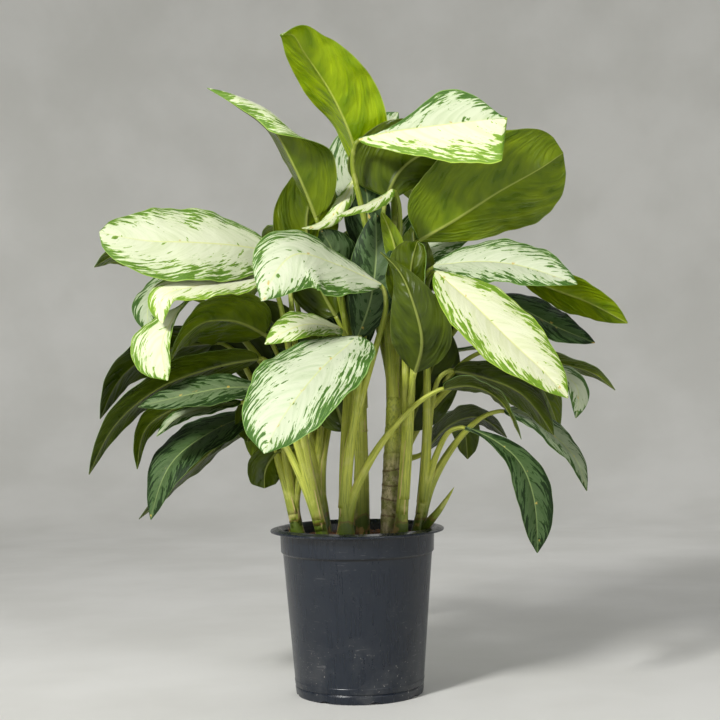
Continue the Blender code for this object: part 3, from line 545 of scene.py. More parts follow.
def blade_surface(shape, phase):
    """The blade's middle surface on a fine grid, and the numbers that its materials read there."""
    path, _, normals = blade_frames(shape)
    tangents = unit(np.gradient(path, axis=0))
    length = np.linalg.norm(np.diff(path, axis=0), axis=1).sum()
    even = np.linspace(0, 1, BLADE_ROWS + 1)
    # The rows lie closer together near both ends, where the outline turns fastest.
    u = even - ROW_CROWDING * np.sin(2 * np.pi * even)
    own = np.linspace(0, 1, SAMPLES + 1)
    line, forward, up = (
        np.column_stack([np.interp(u, own, rows[:, k]) for k in range(3)])
        for rows in (path, tangents, normals))
    forward, up = unit(forward), unit(up)
    across = np.cross(forward, up)
    share = np.linspace(-1, 1, 2 * BLADE_COLUMNS + 1)
    v = np.sign(share) * np.abs(share) ** COLUMN_CROWDING
    u, v = u[:, None], v[None, :]
    side = (v >= 0).astype(int) + 0 * np.round(u).astype(int)
    t = np.abs(v)
    half = blade_half_width(shape, side, u)
    fold = np.radians(np.take(shape["fold"], side))
    roll = np.take(shape["roll"], side) * smooth_step(*shape["roll_run"], u)
    bend = np.radians(np.take(shape["curl"], side) + roll)
    # Each half leaves the midrib at its fold angle and bends evenly from there to its margin.
    turn = np.where(np.abs(bend * t) < 1e-4, 1e-4, bend * t)
    reach = half * t * (np.sin(fold + turn) - np.sin(fold)) / turn
    lift = half * t * (np.cos(fold) - np.cos(fold + turn)) / turn
    swing = 2 * np.pi * (WAVES * u + phase + SIDE_PHASE * side)
    ripple = (np.sin(swing) + MINOR_WAVE * np.sin(2.7 * swing + 1.3)) * shape["wave"]
    lift = lift + half * ripple * t**2 * np.sin(np.pi * u) ** 0.5
    x = half * t
    along = length * u + 0 * v
    veins = vein_place(along, x, half, t) / VEIN_SPACING + phase
    swelling = np.cos(2 * np.pi * veins) * t * (1 - t) * 4 * np.sin(np.pi * u) ** 0.5
    lift = lift + QUILTING * swelling * min(1.0, max(shape["width"]) / 10)
    points = (
        line[:, None, :]
        + across[:, None, :] * (np.sign(v) * reach)[:, :, None]
        + up[:, None, :] * lift[:, :, None]
    )
    rows = np.gradient(points, axis=0)
    columns = np.gradient(points, axis=1)
    facing = unit(np.cross(columns, rows) + 1e-12)
    flipped = (facing * up[:, None, :]).sum(-1)[:, v.shape[1] // 2] < 0
    facing = facing * np.where(flipped, -1, 1)[:, None, None]
    numbers = dict(
        blade_along=along, blade_share=u + 0 * v, blade_across=v + 0 * u, blade_half=half + 0 * v)
    return points, facing, numbers, (u, v, half)


def grid_faces(first, rows, columns, flip):
    """Four-sided faces of a grid of rows by columns points, whose first point has the index first."""
    i, j = np.meshgrid(np.arange(rows - 1), np.arange(columns - 1), indexing="ij")
    a = first + i * columns + j
    quads = np.stack([a, a + 1, a + 1 + columns, a + columns], axis=-1).reshape(-1, 4)
    return quads[:, ::-1] if flip else quads


def new_mesh(name, points, faces, *finishes):
    data = bpy.data.meshes.new(name)
    data.from_pydata(points.tolist(), [], faces)
    for finish in finishes:
        data.materials.append(finish)
    made = bpy.data.objects.new(name, data)
    bpy.context.scene.collection.objects.link(made)
    return made


def smooth(thing):
    thing.data.polygons.foreach_set("use_smooth", np.ones(len(thing.data.polygons), bool))


def mesh_object(name, points, faces, slots, finishes, sharp=None):
    """A smooth mesh. slots gives each face its finish, and equal numbers in sharp a sharp edge."""
    made = new_mesh(name, points, faces.tolist(), *finishes)
    data = made.data
    data.polygons.foreach_set("material_index", np.asarray(slots, np.int32))
    smooth(made)
    if sharp is not None:
        ends = np.empty(len(data.edges) * 2, np.int32)
        data.edges.foreach_get("vertices", ends)
        ends = ends.reshape(-1, 2)
        same = (sharp[ends[:, 0]] > 0) & (sharp[ends[:, 0]] == sharp[ends[:, 1]])
        mark = data.attributes.new("sharp_edge", "BOOLEAN", "EDGE")
        mark.data.foreach_set("value", same)
    data.update()
    return made


def closed_tube(rows, steps, turn=0):
    """Faces of a stack of rings of points, closed by fans over the two points that come after them.

    turn moves the corner that each four-sided face starts from.
    """
    a, b = np.meshgrid(np.arange(rows - 1), np.arange(steps), indexing="ij")
    after = (b + 1) % steps
    here, ahead = a * steps, (a + 1) * steps
    quads = np.stack([here + after, here + b, ahead + b, ahead + after], axis=-1).reshape(-1, 4)
    faces = np.roll(quads, turn, axis=-1).tolist()
    top, bottom, last = rows * steps, rows * steps + 1, (rows - 1) * steps
    for b in range(steps):
        c = (b + 1) % steps
        faces.append([b, c, top])
        faces.append([last + c, last + b, bottom])
    return faces


def store(thing, name, values):
    """Keeps one number for each point, which the materials read by name."""
    attribute = thing.data.attributes.new(name, "FLOAT", "POINT")
    attribute.data.foreach_set("value", np.asarray(values, np.float32).ravel())


def blade_piece(name, shape, phase, finishes):
    """A thin blade with a grooved upper face, a raised rib below and a closed margin."""
    points, facing, numbers, (u, v, half) = blade_surface(shape, phase)
    rows, columns = points.shape[:2]
    x = half * np.abs(v)
    neck = (COLLAR_R - BLADE_THICK / 2) * np.clip(1 - u / NECK, 0, 1) ** 2
    neck = neck * np.sqrt(np.clip(1 - v * v, 0, 1))
    groove = GROOVE_DEEP * bell(x, GROOVE_WIDE) * smooth_step(0.03, 0.15, u) * (1 - u)
    rib = RIB_DEPTH * (1 - u) ** 0.8 * bell(x, RIB_WIDE * (1.15 - u))
    body = BLADE_THICK / 2 * (1 - EDGE_THINNING * np.abs(v) ** 8)
    top = points + facing * (body + neck - groove)[:, :, None]
    bottom = points - facing * (body + np.maximum(neck, rib))[:, :, None]
    count = rows * columns
    upper = grid_faces(0, rows, columns, True)
    lower = grid_faces(count, rows, columns, False)
    index = np.arange(count).reshape(rows, columns)
    loop = np.concatenate([index[0, :-1], index[:-1, -1], index[-1, :0:-1], index[:0:-1, 0]])
    after = np.roll(loop, -1)
    rim = np.stack([loop, after, after + count, loop + count], axis=-1)
    faces = np.vstack([upper, lower, rim])
    slots = np.repeat([0, 1, 0], [len(upper), len(lower), len(rim)])
    sharp = np.zeros(2 * count, np.int32)
    sharp[loop], sharp[loop + count] = 1, 2
    both = np.vstack([top.reshape(-1, 3), bottom.reshape(-1, 3)])
    made = mesh_object(name, both, faces, slots, finishes, sharp)
    for key, values in numbers.items():
        store(made, key, np.concatenate([values.ravel(), values.ravel()]))
    # right_age paints light and shade between the two halves of a folded blade.
    age = shape["age"] + shape["right_age"] * (v > 0) + np.zeros((rows, columns))
    store(made, "leaf_age_and_shade", np.concatenate([age.ravel(), age.ravel()]))
    # leaf_painted_light is painted light: how bright the underside is painted, for light through it or
    # shade on it.
    plain = {"leaf_seed": 10 * phase, "leaf_cover": shape["cover"], "leaf_painted_light": shape["glow"]}
    for key, value in plain.items():
        store(made, key, np.full(2 * count, value))
    return made


def petiole_route(start, up, rise, collar, along):
    """A stalk that leaves the cane upwards and meets the blade along its midrib."""
    end = collar - along * (GAP + COLLAR_RUN)
    reach = np.linalg.norm(end - start)
    b = start + up * reach * rise
    c = end - along * min(reach * LEVEL_OUT, LEVEL_OUT_MOST)
    t = np.linspace(0, 1, PETIOLE_POINTS - 1)[:, None]
    bend = (1 - t) ** 3 * start + 3 * (1 - t) ** 2 * t * b + 3 * (1 - t) * t**2 * c + t**3 * end
    return np.vstack([bend, collar - along * GAP])


def cane_line(name):
    """The points and radii of a shoot's cane, from the bottom of its hole to its head."""
    (x, y), top, ground_r, top_r = SHOOTS[name]
    ground = np.array((x * CM, y * CM, SOIL_TOP))
    foot = ground - np.array((0, 0, HOLE_DEPTH - GAP))
    head = np.array(top) * CM
    share = np.linspace(0, 1, 4)[:, None]
    return np.vstack([foot, ground + (head - ground) * share]), np.interp(
        [0, 0, 1, 2, 3], [0, 1, 3], np.array([ground_r, ground_r, top_r]) * CM)


def side_frames(path, first):
    """Directions across a path that turn as little as they can along it, from the given first one."""
    along = unit(np.gradient(path, axis=0))
    side = np.array(first, float)
    rows = []
    for direction in along:
        side = unit(side - (side @ direction) * direction)
        rows.append(side)
    side = np.array(rows)
    return side, np.cross(along, side)


def sweep(path, radii, sides, first, outline):
    """Points and faces of a closed tube along path. outline gives each point's share of the radius."""
    side, up = side_frames(path, first)
    angle = np.linspace(0, 2 * np.pi, sides, endpoint=False)
    run = np.linspace(0, 1, len(path))
    reach = radii[:, None] * outline(run[:, None], angle)
    ring = (
        path[:, None, :]
        + side[:, None, :] * (np.cos(angle) * reach)[:, :, None]
        + up[:, None, :] * (np.sin(angle) * reach)[:, :, None]
    )
    points = ring.reshape(-1, 3)
    a, b = np.meshgrid(np.arange(len(path) - 1), np.arange(sides), indexing="ij")
    after = (b + 1) % sides
    here, ahead = a * sides, (a + 1) * sides
    quads = np.stack([here + b, here + after, ahead + after, ahead + b], axis=-1).reshape(-1, 4)
    ends = len(points) + np.array([0, 1])
    points = np.vstack([points, path[0], path[-1]])
    j = np.arange(sides)
    last = (len(path) - 1) * sides
    cap_a = np.stack([(j + 1) % sides, j, np.full(sides, ends[0])], axis=-1)
    cap_b = np.stack([last + j, last + (j + 1) % sides, np.full(sides, ends[1])], axis=-1)
    run = np.concatenate([np.repeat(run, sides), [0, 1]])
    turn = np.concatenate([np.tile(angle, len(path)), [0, 0]])
    return points, [*quads.tolist(), *cap_a.tolist(), *cap_b.tolist()], run, turn


def petiole_outline(run, angle):
    """A stalk with a channel along its upper side, and a sheath's two wings near its foot."""
    wings = np.clip(1 - run / SHEATH_SHARE, 0, 1) ** 0.7
    above = angle - np.pi / 2
    channel = bell(above, CHANNEL_WIDE)
    shoulders = bell(above - SHOULDER_TURN, SHOULDER_WIDE) + bell(above + SHOULDER_TURN, SHOULDER_WIDE)
    return 1 - CHANNEL_DEEP * channel + (SHOULDER_HIGH + WING_HIGH * wings) * shoulders


def node_place(run, angle):
    """How far along a cane a place is, in nodes, which lie unevenly and a little aslant."""
    return run * CANE_NODES + 0.28 * np.sin(11 * run) + 0.10 * np.sin(angle + 17 * run)


def cane_outline(run, angle):
    """Nodes: low swollen rings with a notch above each."""
    near = (node_place(run, angle) + 0.5) % 1 - 0.5
    lumpy = 0.02 * np.sin(3 * angle + 9 * run) + 0.015 * np.sin(7 * angle - 31 * run)
    return 1 + 0.06 * bell(near, 0.16) - 0.05 * bell(near - 0.2, 0.07) + lumpy


def sheath_outline(run, angle):
    """Old leaf sheaths wrapped round a young cane."""
    return 1 + 0.05 * np.sin(2 * angle + 5 * run) + 0.04 * np.sin(5 * angle - 4 * run)


def shoot_parts(name):
    """(points, faces, run, turn, kind) of each tube of a shoot. kind is 0 for green and 1 for woody."""
    cane, radii = cane_line(name)
    ground, head = cane[1], cane[-1]
    up = unit(head - ground)
    woody = name in WOODY
    t = np.linspace(0, 1, CANE_ROWS)
    path = np.column_stack([np.interp(t, np.linspace(0, 1, len(cane)), cane[:, k]) for k in range(3)])
    reach = np.interp(t, np.linspace(0, 1, len(cane)), radii)
    dome = np.sqrt(np.clip(1 - ((t - 1 + CANE_DOME) / CANE_DOME).clip(0) ** 2, 0.02, 1))
    dome = dome * (1 if woody else 1 - CANE_TAPER * smooth_step(0.2, 1, t))
    outline = cane_outline if woody else sheath_outline
    points, faces, run, turn = sweep(path, reach * dome, CANE_SIDES, (1, 0, 0), outline)
    parts = [(points, faces, node_place(run, turn) if woody else CANE_TONE * run, turn, woody)]
    mine = sorted(
        (shape for shape in LEAVES.values() if shape["shoot"] == name),
        key=lambda shape: shape["spine"][0][2])
    climb = np.linalg.norm(head - ground)
    room, last = climb - 2 * FIRST_PETIOLE, max(1, len(mine) - 1)
    shares = [(FIRST_PETIOLE + room * k / last) / climb for k in range(len(mine))]
    fillers = [shape for shape in FILLERS.values() if shape["shoot"] == name]
    for shape, share in zip(mine + fillers, shares + [FILLER_SHARE] * len(fillers)):
        blade, along, _ = blade_frames(shape)
        start = ground + (head - ground) * share
        route = smooth_path(petiole_route(start, up, shape["rise"], blade[0], along[0]), STALK_ROWS - 1)
        t = np.linspace(0, 1, STALK_ROWS)
        reach = COLLAR_R + (PETIOLE_BASE_R - COLLAR_R) * (1 - t) ** PETIOLE_TAPER
        outward = route[-1] - start
        outward[2] = 0
        leans = np.linalg.norm(outward) > 1e-4
        first = unit(np.cross((0, 0, 1), outward)) if leans else np.array((1.0, 0, 0))
        parts.append((*sweep(route, reach, STALK_SIDES, first, petiole_outline), False))
    if name in SPEARS:
        points, radius = SPEARS[name]
        path = smooth_path(np.array(points) * CM, STALK_ROWS - 1)
        t = np.linspace(0, 1, STALK_ROWS)
        reach = radius * CM * np.clip(1.3 * (1 - t) ** 0.7, 0.03, 1)
        wrap = lambda run, angle: 1 + 0.12 * ((angle / (2 * np.pi) + 0.8 * run) % 1)
        parts.append((*sweep(path, reach, STALK_SIDES, (1, 0, 0), wrap), False))
    return parts


def shoot_piece(name, finish):
    points, faces, run, turn, kind, order = [], [], [], [], [], []
    count = 0
    for number, (p, f, r, a, woody) in enumerate(shoot_parts(name)):
        points.append(p)
        faces += [[count + k for k in face] for face in f]
        run.append(r)
        turn.append(a)
        kind.append(float(woody) * (1 - smooth_step(*WOODY_TOP, p[:, 2])))
        order.append(np.full(len(p), float(number)))
        count += len(p)
    made = new_mesh("stalks_" + name, np.vstack(points), faces, finish)
    smooth(made)
    numbers = {"stalk_run": run, "stalk_turn": turn, "stalk_woody": kind, "stalk_order": order}
    for key, values in numbers.items():
        store(made, key, np.concatenate(values))
    return made


def turned(name, profile, steps, finish):
    """A solid of revolution from (radius, height) points, which start and end on the axis."""
    profile = np.array(profile, float)
    inner = profile[1:-1]
    angle = np.linspace(0, 2 * np.pi, steps, endpoint=False)
    points = np.stack([
        inner[:, 0][:, None] * np.cos(angle), inner[:, 0][:, None] * np.sin(angle),
        inner[:, 1][:, None] + 0 * angle], axis=-1).reshape(-1, 3)
    points = np.vstack([points, (0, 0, profile[0, 1]), (0, 0, profile[-1, 1])])
    return new_mesh(name, points, closed_tube(len(inner), steps), finish)


def rounded(profile, radius, steps=3):
    """The profile with each inner corner replaced by a short arc."""
    p = np.array(profile, float)
    made = [p[0]]
    for a, b, c in zip(p, p[1:], p[2:]):
        back, ahead = a - b, c - b
        cut = min(radius, 0.4 * np.linalg.norm(back), 0.4 * np.linalg.norm(ahead))
        start, end = b + unit(back) * cut, b + unit(ahead) * cut
        for t in np.linspace(0, 1, steps):
            made.append((1 - t) ** 2 * start + 2 * t * (1 - t) * b + t**2 * end)
    made.append(p[-1])
    return made


def wall_radius(z):
    """The outside of the pot's tapered wall at height z."""
    return FOOT_R + (BAND_R - BAND_STEP - FOOT_R) * z / BAND_Z


def pot_piece(finish):
    shoulder = BAND_Z - 1.5 * MM
    under_lip = POT_HEIGHT - LIP_DROP - LIP_THICK
    profile = [
        (0, FLOOR),
        (wall_radius(FLOOR) - WALL, FLOOR),
        (wall_radius(shoulder) - WALL, shoulder),
        (BAND_R - WALL, BAND_Z + 2 * MM),
        (BAND_TOP_R - WALL, POT_HEIGHT - LIP_DROP),
        (MOUTH_R, POT_HEIGHT),
        (LIP_R - 2 * MM, POT_HEIGHT - LIP_DROP * 0.35),
        (LIP_R, POT_HEIGHT - LIP_DROP * 0.5),
        (LIP_R, under_lip + LIP_DROP * 0.5),
        (LIP_R - 2 * MM, under_lip + LIP_DROP * 0.5),
        (MOUTH_R + 1 * MM, under_lip + LIP_DROP * 0.7),
        (BAND_TOP_R, under_lip),
        (BAND_R, BAND_Z + 1 * MM),
        (wall_radius(shoulder), shoulder),
        (wall_radius(LINE_Z), LINE_Z + 0.8 * MM),
        (wall_radius(LINE_Z) + 0.5 * MM, LINE_Z),
        (wall_radius(GROOVE_Z) + 0.3 * MM, GROOVE_Z + 1.5 * MM),
        (wall_radius(GROOVE_Z) - GROOVE_DEPTH, GROOVE_Z),
        (wall_radius(GROOVE_Z) + 0.3 * MM, GROOVE_Z - 1.5 * MM),
        (FOOT_R, 1 * MM),
        (FOOT_R - 1 * MM, 0),
        (0, 0),
    ]
    pot = turned("nursery_pot", rounded(profile, 0.8 * MM), POT_STEPS, finish)
    for k in range(NOTCHES):
        angle = 2 * math.pi * (k + FIRST_NOTCH) / NOTCHES
        bpy.ops.mesh.primitive_cylinder_add(
            vertices=32, radius=1, depth=2, rotation=(0, math.pi / 2, angle),
            location=(math.cos(angle) * FOOT_R, math.sin(angle) * FOOT_R, 0))
        notch = bpy.context.object
        notch.scale = (NOTCH_HEIGHT, NOTCH_WIDTH / 2, NOTCH_DEPTH)
        cut = pot.modifiers.new("notch", "BOOLEAN")
        cut.object = notch
        cut.solver = "MANIFOLD"
        bpy.context.view_layer.update()
        graph = bpy.context.evaluated_depsgraph_get()
        data = bpy.data.meshes.new_from_object(pot.evaluated_get(graph))
        pot.modifiers.clear()
        pot.data = data
        bpy.data.objects.remove(notch)
    smooth_by_angle(pot, 30)
    return pot


def smooth_by_angle(thing, degrees):
    """Smooth faces, with a sharp edge wherever two meet at more than the given angle."""
    smooth(thing)
    thing.data.set_sharp_from_angle(angle=math.radians(degrees))


def lumps(x, y, seed, waves):
    """A smooth random height from a sum of sine waves, from about -1 to 1."""
    chance = np.random.default_rng(seed)
    height = 0 * x
    for scale, share in waves:
        for _ in range(5):
            angle = chance.uniform(0, 2 * np.pi)
            height = height + share / 5 * np.sin(
                (x * np.cos(angle) + y * np.sin(angle)) * 2 * np.pi / (scale * chance.uniform(0.7, 1.4))
                + chance.uniform(0, 2 * np.pi))
    return height


def soil_piece(finish):
    """Damp potting mix: a lumpy top of mulch that dips to the wall, and plain sides inside the pot."""
    edge = BAND_R - WALL - 2 * GAP
    rings, steps = SOIL_RINGS, SOIL_STEPS
    r = edge * np.linspace(0, 1, rings + 1)[1:] ** 0.9
    angle = np.linspace(0, 2 * np.pi, steps, endpoint=False)
    x, y = r[:, None] * np.cos(angle), r[:, None] * np.sin(angle)
    z = SOIL_TOP + MULCH - SOIL_MOUND * smooth_step(SOIL_FLAT, 1, r / edge)[:, None] + 0 * x
    z = z + SOIL_ROUGH * lumps(x, y, 3, SOIL_LUMPS) - SOIL_ROUGH
    shoulder = BAND_Z - 2.5 * MM
    walls = [
        (edge, BAND_Z + 3 * MM),
        (wall_radius(shoulder) - WALL - 2 * GAP, shoulder),
        (wall_radius(FLOOR) - WALL - 2 * GAP, FLOOR + GAP),
    ]
    layers = [np.stack([x, y, z], axis=-1)]
    layers += [
        np.stack([radius * np.cos(angle), radius * np.sin(angle), height + 0 * angle], axis=-1)[None]
        for radius, height in walls]
    points = np.concatenate(layers).reshape(-1, 3)
    rows = rings + len(walls)
    points = np.vstack([points, (0, 0, points[:steps, 2].mean()), (0, 0, FLOOR + GAP)])
    made = new_mesh("potting_mix", points, closed_tube(rows, steps, -1), finish)
    smooth_by_angle(made, 60)
    return made


def crumbs_piece(finish):
    """Crumbs of bark and peat, pressed into the mulch."""
    work = bmesh.new()
    bmesh.ops.create_icosphere(work, subdivisions=1, radius=1)
    base = np.array([vertex.co for vertex in work.verts])
    corners = np.array([[vertex.index for vertex in face.verts] for face in work.faces])
    work.free()
    chance = np.random.default_rng(11)
    points, faces, tones = [], [], []
    edge = BAND_R - WALL - CRUMB_EDGE
    for _ in range(CRUMBS):
        radius = edge * math.sqrt(chance.uniform(0, 1))
        angle = chance.uniform(0, 2 * math.pi)
        size = chance.uniform(*CRUMB_SIZE) * MM * (BIG_CRUMB if chance.uniform() < BIG_CRUMBS else 1)
        spin = Matrix.Rotation(chance.uniform(0, 6), 3, "Z")
        spin = spin @ Matrix.Rotation(chance.uniform(0, 0.6), 3, "X")
        stretch = np.array((chance.uniform(0.8, 2.8), chance.uniform(0.6, 1.1), chance.uniform(0.4, 0.8)))
        rough = base * (1 + chance.uniform(-0.22, 0.22, (len(base), 1))) * stretch * size
        drop = SOIL_MOUND * smooth_step(SOIL_FLAT, 1, radius / (BAND_R - WALL))
        place = np.array((radius * math.cos(angle), radius * math.sin(angle), SOIL_TOP + MULCH - drop))
        place[2] -= SOIL_ROUGH * chance.uniform(0, 1.2)
        faces += (corners + len(points) * len(base)).tolist()
        points.append(rough @ np.array(spin).T + place)
        tones.append(np.full(len(base), chance.uniform()))
    made = new_mesh("soil_crumbs", np.vstack(points), faces, finish)
    store(made, "crumb_tone", np.concatenate(tones))
    return made


def husk_piece(finish):
    """Papery brown remains of old sheaths, curled round the feet of the canes."""
    chance = np.random.default_rng(5)
    rows, columns = HUSK_ROWS, HUSK_COLUMNS
    points, faces, tones = [], [], []
    count = 0
    for (x, y), (hx, hy, hz), ground_r, _ in SHOOTS.values():
        ground = np.array((x * CM, y * CM, SOIL_TOP))
        lean = (np.array((hx, hy, hz)) * CM - ground) / (hz * CM - SOIL_TOP)
        for _ in range(HUSKS):
            start = chance.uniform(0, 2 * np.pi)
            span = chance.uniform(*HUSK_TURN)
            low, tall = MULCH - HUSK_SUNK, chance.uniform(*HUSK_TALL) * MM
            s, a = np.meshgrid(np.linspace(0, 1, rows), np.linspace(-0.5, 0.5, columns), indexing="ij")
            ragged = 1 + 0.35 * np.sin(11 * a + start) * s
            height = low + s * tall * ragged * (1 - 0.5 * (2 * np.abs(a)) ** 2)
            radius = ground_r * CM + (0.5 + 1.8 * chance.uniform() * s**3) * MM
            radius = radius + 0.3 * MM * np.sin(9 * a + 7 * s + start)
            turn = start + a * span * (1 - 0.8 * s**1.5) + 0.25 * s * chance.uniform(-1, 1)
            place = np.stack([
                ground[0] + lean[0] * height + radius * np.cos(turn),
                ground[1] + lean[1] * height + radius * np.sin(turn),
                SOIL_TOP + height], axis=-1)
            points.append(place.reshape(-1, 3))
            faces += grid_faces(count, rows, columns, False).tolist()
            tones.append(np.full(rows * columns, chance.uniform()))
            count += rows * columns
    made = new_mesh("dry_sheaths", np.vstack(points), faces, finish)
    smooth(made)
    store(made, "crumb_tone", np.concatenate(tones))
    thick = made.modifiers.new("thick", "SOLIDIFY")
    thick.thickness = HUSK_THICK
    thick.offset = 0
    return made


class Value:
    """The output of a shader node. A sum that is written with it adds the node that works it out."""

    def __init__(self, socket):
        self.socket = socket

    def __add__(self, other):
        return calc("ADD", self, other)

    def __radd__(self, other):
        return calc("ADD", other, self)

    def __sub__(self, other):
        return calc("SUBTRACT", self, other)

    def __rsub__(self, other):
        return calc("SUBTRACT", other, self)

    def __mul__(self, other):
        return calc("MULTIPLY", self, other)

    def __truediv__(self, other):
        return calc("DIVIDE", self, other)

    def __pow__(self, other):
        return calc("POWER", self, other)

    def __abs__(self):
        return calc("ABSOLUTE", self)


def new_material(name):
    made = bpy.data.materials.new(name)
    made.use_nodes = True
    return made, made.node_tree, made.node_tree.nodes["Principled BSDF"]


def feed(socket, value):
    if isinstance(value, Value):
        socket.id_data.links.new(value.socket, socket)
    else:
        socket.default_value = value


def add_node(kind, *values):
    """A node in the tree that the values come from, which go into its first sockets."""
    tree = next(value.socket.id_data for value in values if isinstance(value, Value))
    made = tree.nodes.new("ShaderNode" + kind)
    for socket, value in zip(made.inputs, values):
        feed(socket, value)
    return made


def read(tree, name):
    made = tree.nodes.new("ShaderNodeAttribute")
    made.attribute_name = name
    return Value(made.outputs["Fac"])


def own_place(tree):
    return Value(tree.nodes.new("ShaderNodeTexCoord").outputs["Object"])


def split(place):
    return [Value(socket) for socket in add_node("SeparateXYZ", place).outputs]


def vector(x, y, z):
    return Value(add_node("CombineXYZ", x, y, z).outputs[0])


def calc(operation, *values, clamp=False):
    made = add_node("Math", *values)
    made.operation = operation
    made.use_clamp = clamp
    return Value(made.outputs[0])


def step(value, low, high, start=0.0, end=1.0):
    """A smooth change from start to end as value goes from low to high."""
    made = add_node("MapRange", value, low, high, start, end)
    made.interpolation_type = "SMOOTHSTEP"
    return Value(made.outputs[0])


def blend(share, first, second):
    made = add_node("Mix", share)
    made.data_type = "RGBA"
    for socket, colour in zip(made.inputs[6:8], (first, second)):
        feed(socket, (*colour, 1) if isinstance(colour, tuple) else colour)
    return Value(made.outputs[2])


def noise(place, scale=1.0, detail=2.0, roughness=0.5, distortion=0.0):
    made = add_node("TexNoise", place)
    made.inputs["Scale"].default_value = scale
    made.inputs["Detail"].default_value = detail
    made.inputs["Roughness"].default_value = roughness
    made.inputs["Distortion"].default_value = distortion
    return Value(made.outputs[0])


def bump(shader, height, distance, strength):
    made = shader.id_data.nodes.new("ShaderNodeBump")
    made.inputs["Distance"].default_value = distance
    made.inputs["Strength"].default_value = strength
    feed(made.inputs["Height"], height)
    feed(shader.inputs["Normal"], Value(made.outputs[0]))


def srgb(red, green, blue):
    """A colour as seen, 0 to 255, turned to the light it sends back."""
    shares = (red / 255, green / 255, blue / 255)
    return tuple(c / 12.92 if c <= 0.04045 else ((c + 0.055) / 1.055) ** 2.4 for c in shares)


def by_age_and_shade(age, young, middle, old):
    return blend(step(age, 0.45, 1), blend(step(age, 0, 0.5), young, middle), old)


def leaf_places(tree):
    """What a blade's materials share: its length share, t across, x in metres, and side vein places."""
    names = ("blade_share", "blade_across", "blade_half", "blade_along", "leaf_seed")
    share, across, half, along, seed = (read(tree, name) for name in names)
    t = abs(across)
    x = t * half
    bend = t ** VEIN_POWER * half * VEIN_BEND
    vein = along - x * VEIN_SLANT - bend
    run = along + x * 0.5
    side = calc("GREATER_THAN", across, 0.0) * 7.3
    return share, t, x, vein, run, seed + side


def streaks(vein, run, seed, wide, long, shift, **kind):
    """Noise stretched along the side veins: wide across them and long along them, in metres."""
    place = vector(vein / wide, run / long, seed + shift)
    return noise(place, **kind)


def upper_material():
    """Silver cream, with green in streaks along the side veins that close up towards the margin."""
    made, tree, shader = new_material("leaf_upper")
    share, t, x, vein, run, seed = leaf_places(tree)
    age, cover = read(tree, "leaf_age_and_shade"), read(tree, "leaf_cover")
    large = streaks(vein, run, seed, 34 * MM, 60 * MM, 0.0, detail=2.0)
    main = streaks(vein, run, seed, 11 * MM, 27 * MM, 2.1, detail=2.0, roughness=0.5, distortion=0.2)
    fine = streaks(vein, run, seed, 4.6 * MM, 10 * MM, 4.7, detail=3.0, roughness=0.6, distortion=0.4)
    start = 0.5 - cover * 0.62
    start = start + (large - 0.5) * 0.7
    depth = calc("DIVIDE", t - start, 1.02 - start, clamp=True)
    ends = step(share, 0.8, 1.0, 0.0, 0.3) + step(share, 0.0, 0.16, 0.25, 0.0)
    depth = depth + ends
    level = 0.645 - depth * 0.235
    mixed = main * 0.72 + fine * 0.28
    above = mixed - level
    green = step(above, -0.006, 0.006)
    dark = step(above, 0.006, 0.05)
    dashes = step(fine, 0.62, 0.65) * step(depth, 0.02, 0.3)
    flecks = step(fine - depth * 0.06, 0.52, 0.56)
    band = step(t + fine * 0.1, 1.005, 1.03)
    edge = step(1.0 - t, 0.014, 0.03, 1.0, 0.0)
    # The colours go from young to old with age, which is also set higher to paint shade on blades in
    # shadow.
    silver = by_age_and_shade(age, srgb(230, 234, 200), srgb(213, 221, 193), srgb(98, 120, 76))
    silver_low = by_age_and_shade(age, srgb(220, 226, 182), srgb(198, 210, 176), srgb(72, 96, 52))
    bright = by_age_and_shade(age, srgb(160, 192, 66), srgb(112, 150, 66), srgb(40, 68, 20))
    deep = by_age_and_shade(age, srgb(108, 148, 34), srgb(58, 98, 26), srgb(18, 38, 6))
    ground = blend(step(streaks(vein, run, seed, 9 * MM, 70 * MM, 8.8, detail=3.0), 0.4, 0.7),
                   silver, silver_low)
    ground = blend(step(cover, 0.7, 1.0, 0.0, 0.75), ground, bright)
    haze = step(depth, 0.1, 1.0) * step(main, 0.3, 0.6, 0.15, 0.6)
    ground = blend(haze, ground, by_age_and_shade(age, srgb(186, 208, 112), srgb(164, 192, 132), srgb(88, 116, 78)))
    colour = blend(dashes, ground, bright)
    colour = blend(green, colour, bright)
    colour = blend(dark * (1.0 - flecks * 0.35), colour, deep)
    colour = blend(band * 0.75, colour, deep)
    colour = blend(edge * 0.8, colour,
                   by_age_and_shade(age, srgb(176, 206, 70), srgb(140, 178, 90), srgb(96, 124, 60)))
    rib = step(x, 0.6 * MM, 1.7 * MM, 1.0, 0.0) * step(share, 0.55, 1.0, 1.0, 0.3)
    colour = blend(rib * 0.75, colour,
                   by_age_and_shade(age, srgb(226, 228, 150), srgb(214, 222, 150), srgb(140, 160, 100)))
    spots = noise(vector(run, x, seed), scale=90, detail=1)
    spots = step(spots, 0.66, 0.7) * step(x, 1.5 * MM, 5 * MM, 0.8, 0.0)
    colour = blend(spots, colour, srgb(206, 178, 88))
    colour = blend(step(noise(vector(vein, run, seed), scale=700, detail=2), 0.35, 0.75, 0, 0.1), colour,
                   by_age_and_shade(age, srgb(196, 216, 140), srgb(170, 196, 150), srgb(90, 120, 90)))
    feed(shader.inputs["Base Color"], colour)
    feed(shader.inputs["Roughness"], step(main, 0.3, 0.7, 0.42, 0.56))
    shader.inputs["Specular IOR Level"].default_value = 0.22
    ridge = calc("COSINE", vein * (2 * math.pi / (VEIN_SPACING / 3)))
    grain = noise(vector(vein, run, seed), scale=1400, detail=2)
    folds = streaks(vein, run, seed, 16 * MM, 30 * MM, 6.4, detail=2.0, roughness=0.6)
    height = ridge * 0.04 + (grain + fine * 0.9)
    height = height + folds * 9.0
    bump(shader, height, 0.22 * MM, 0.6)
    return made


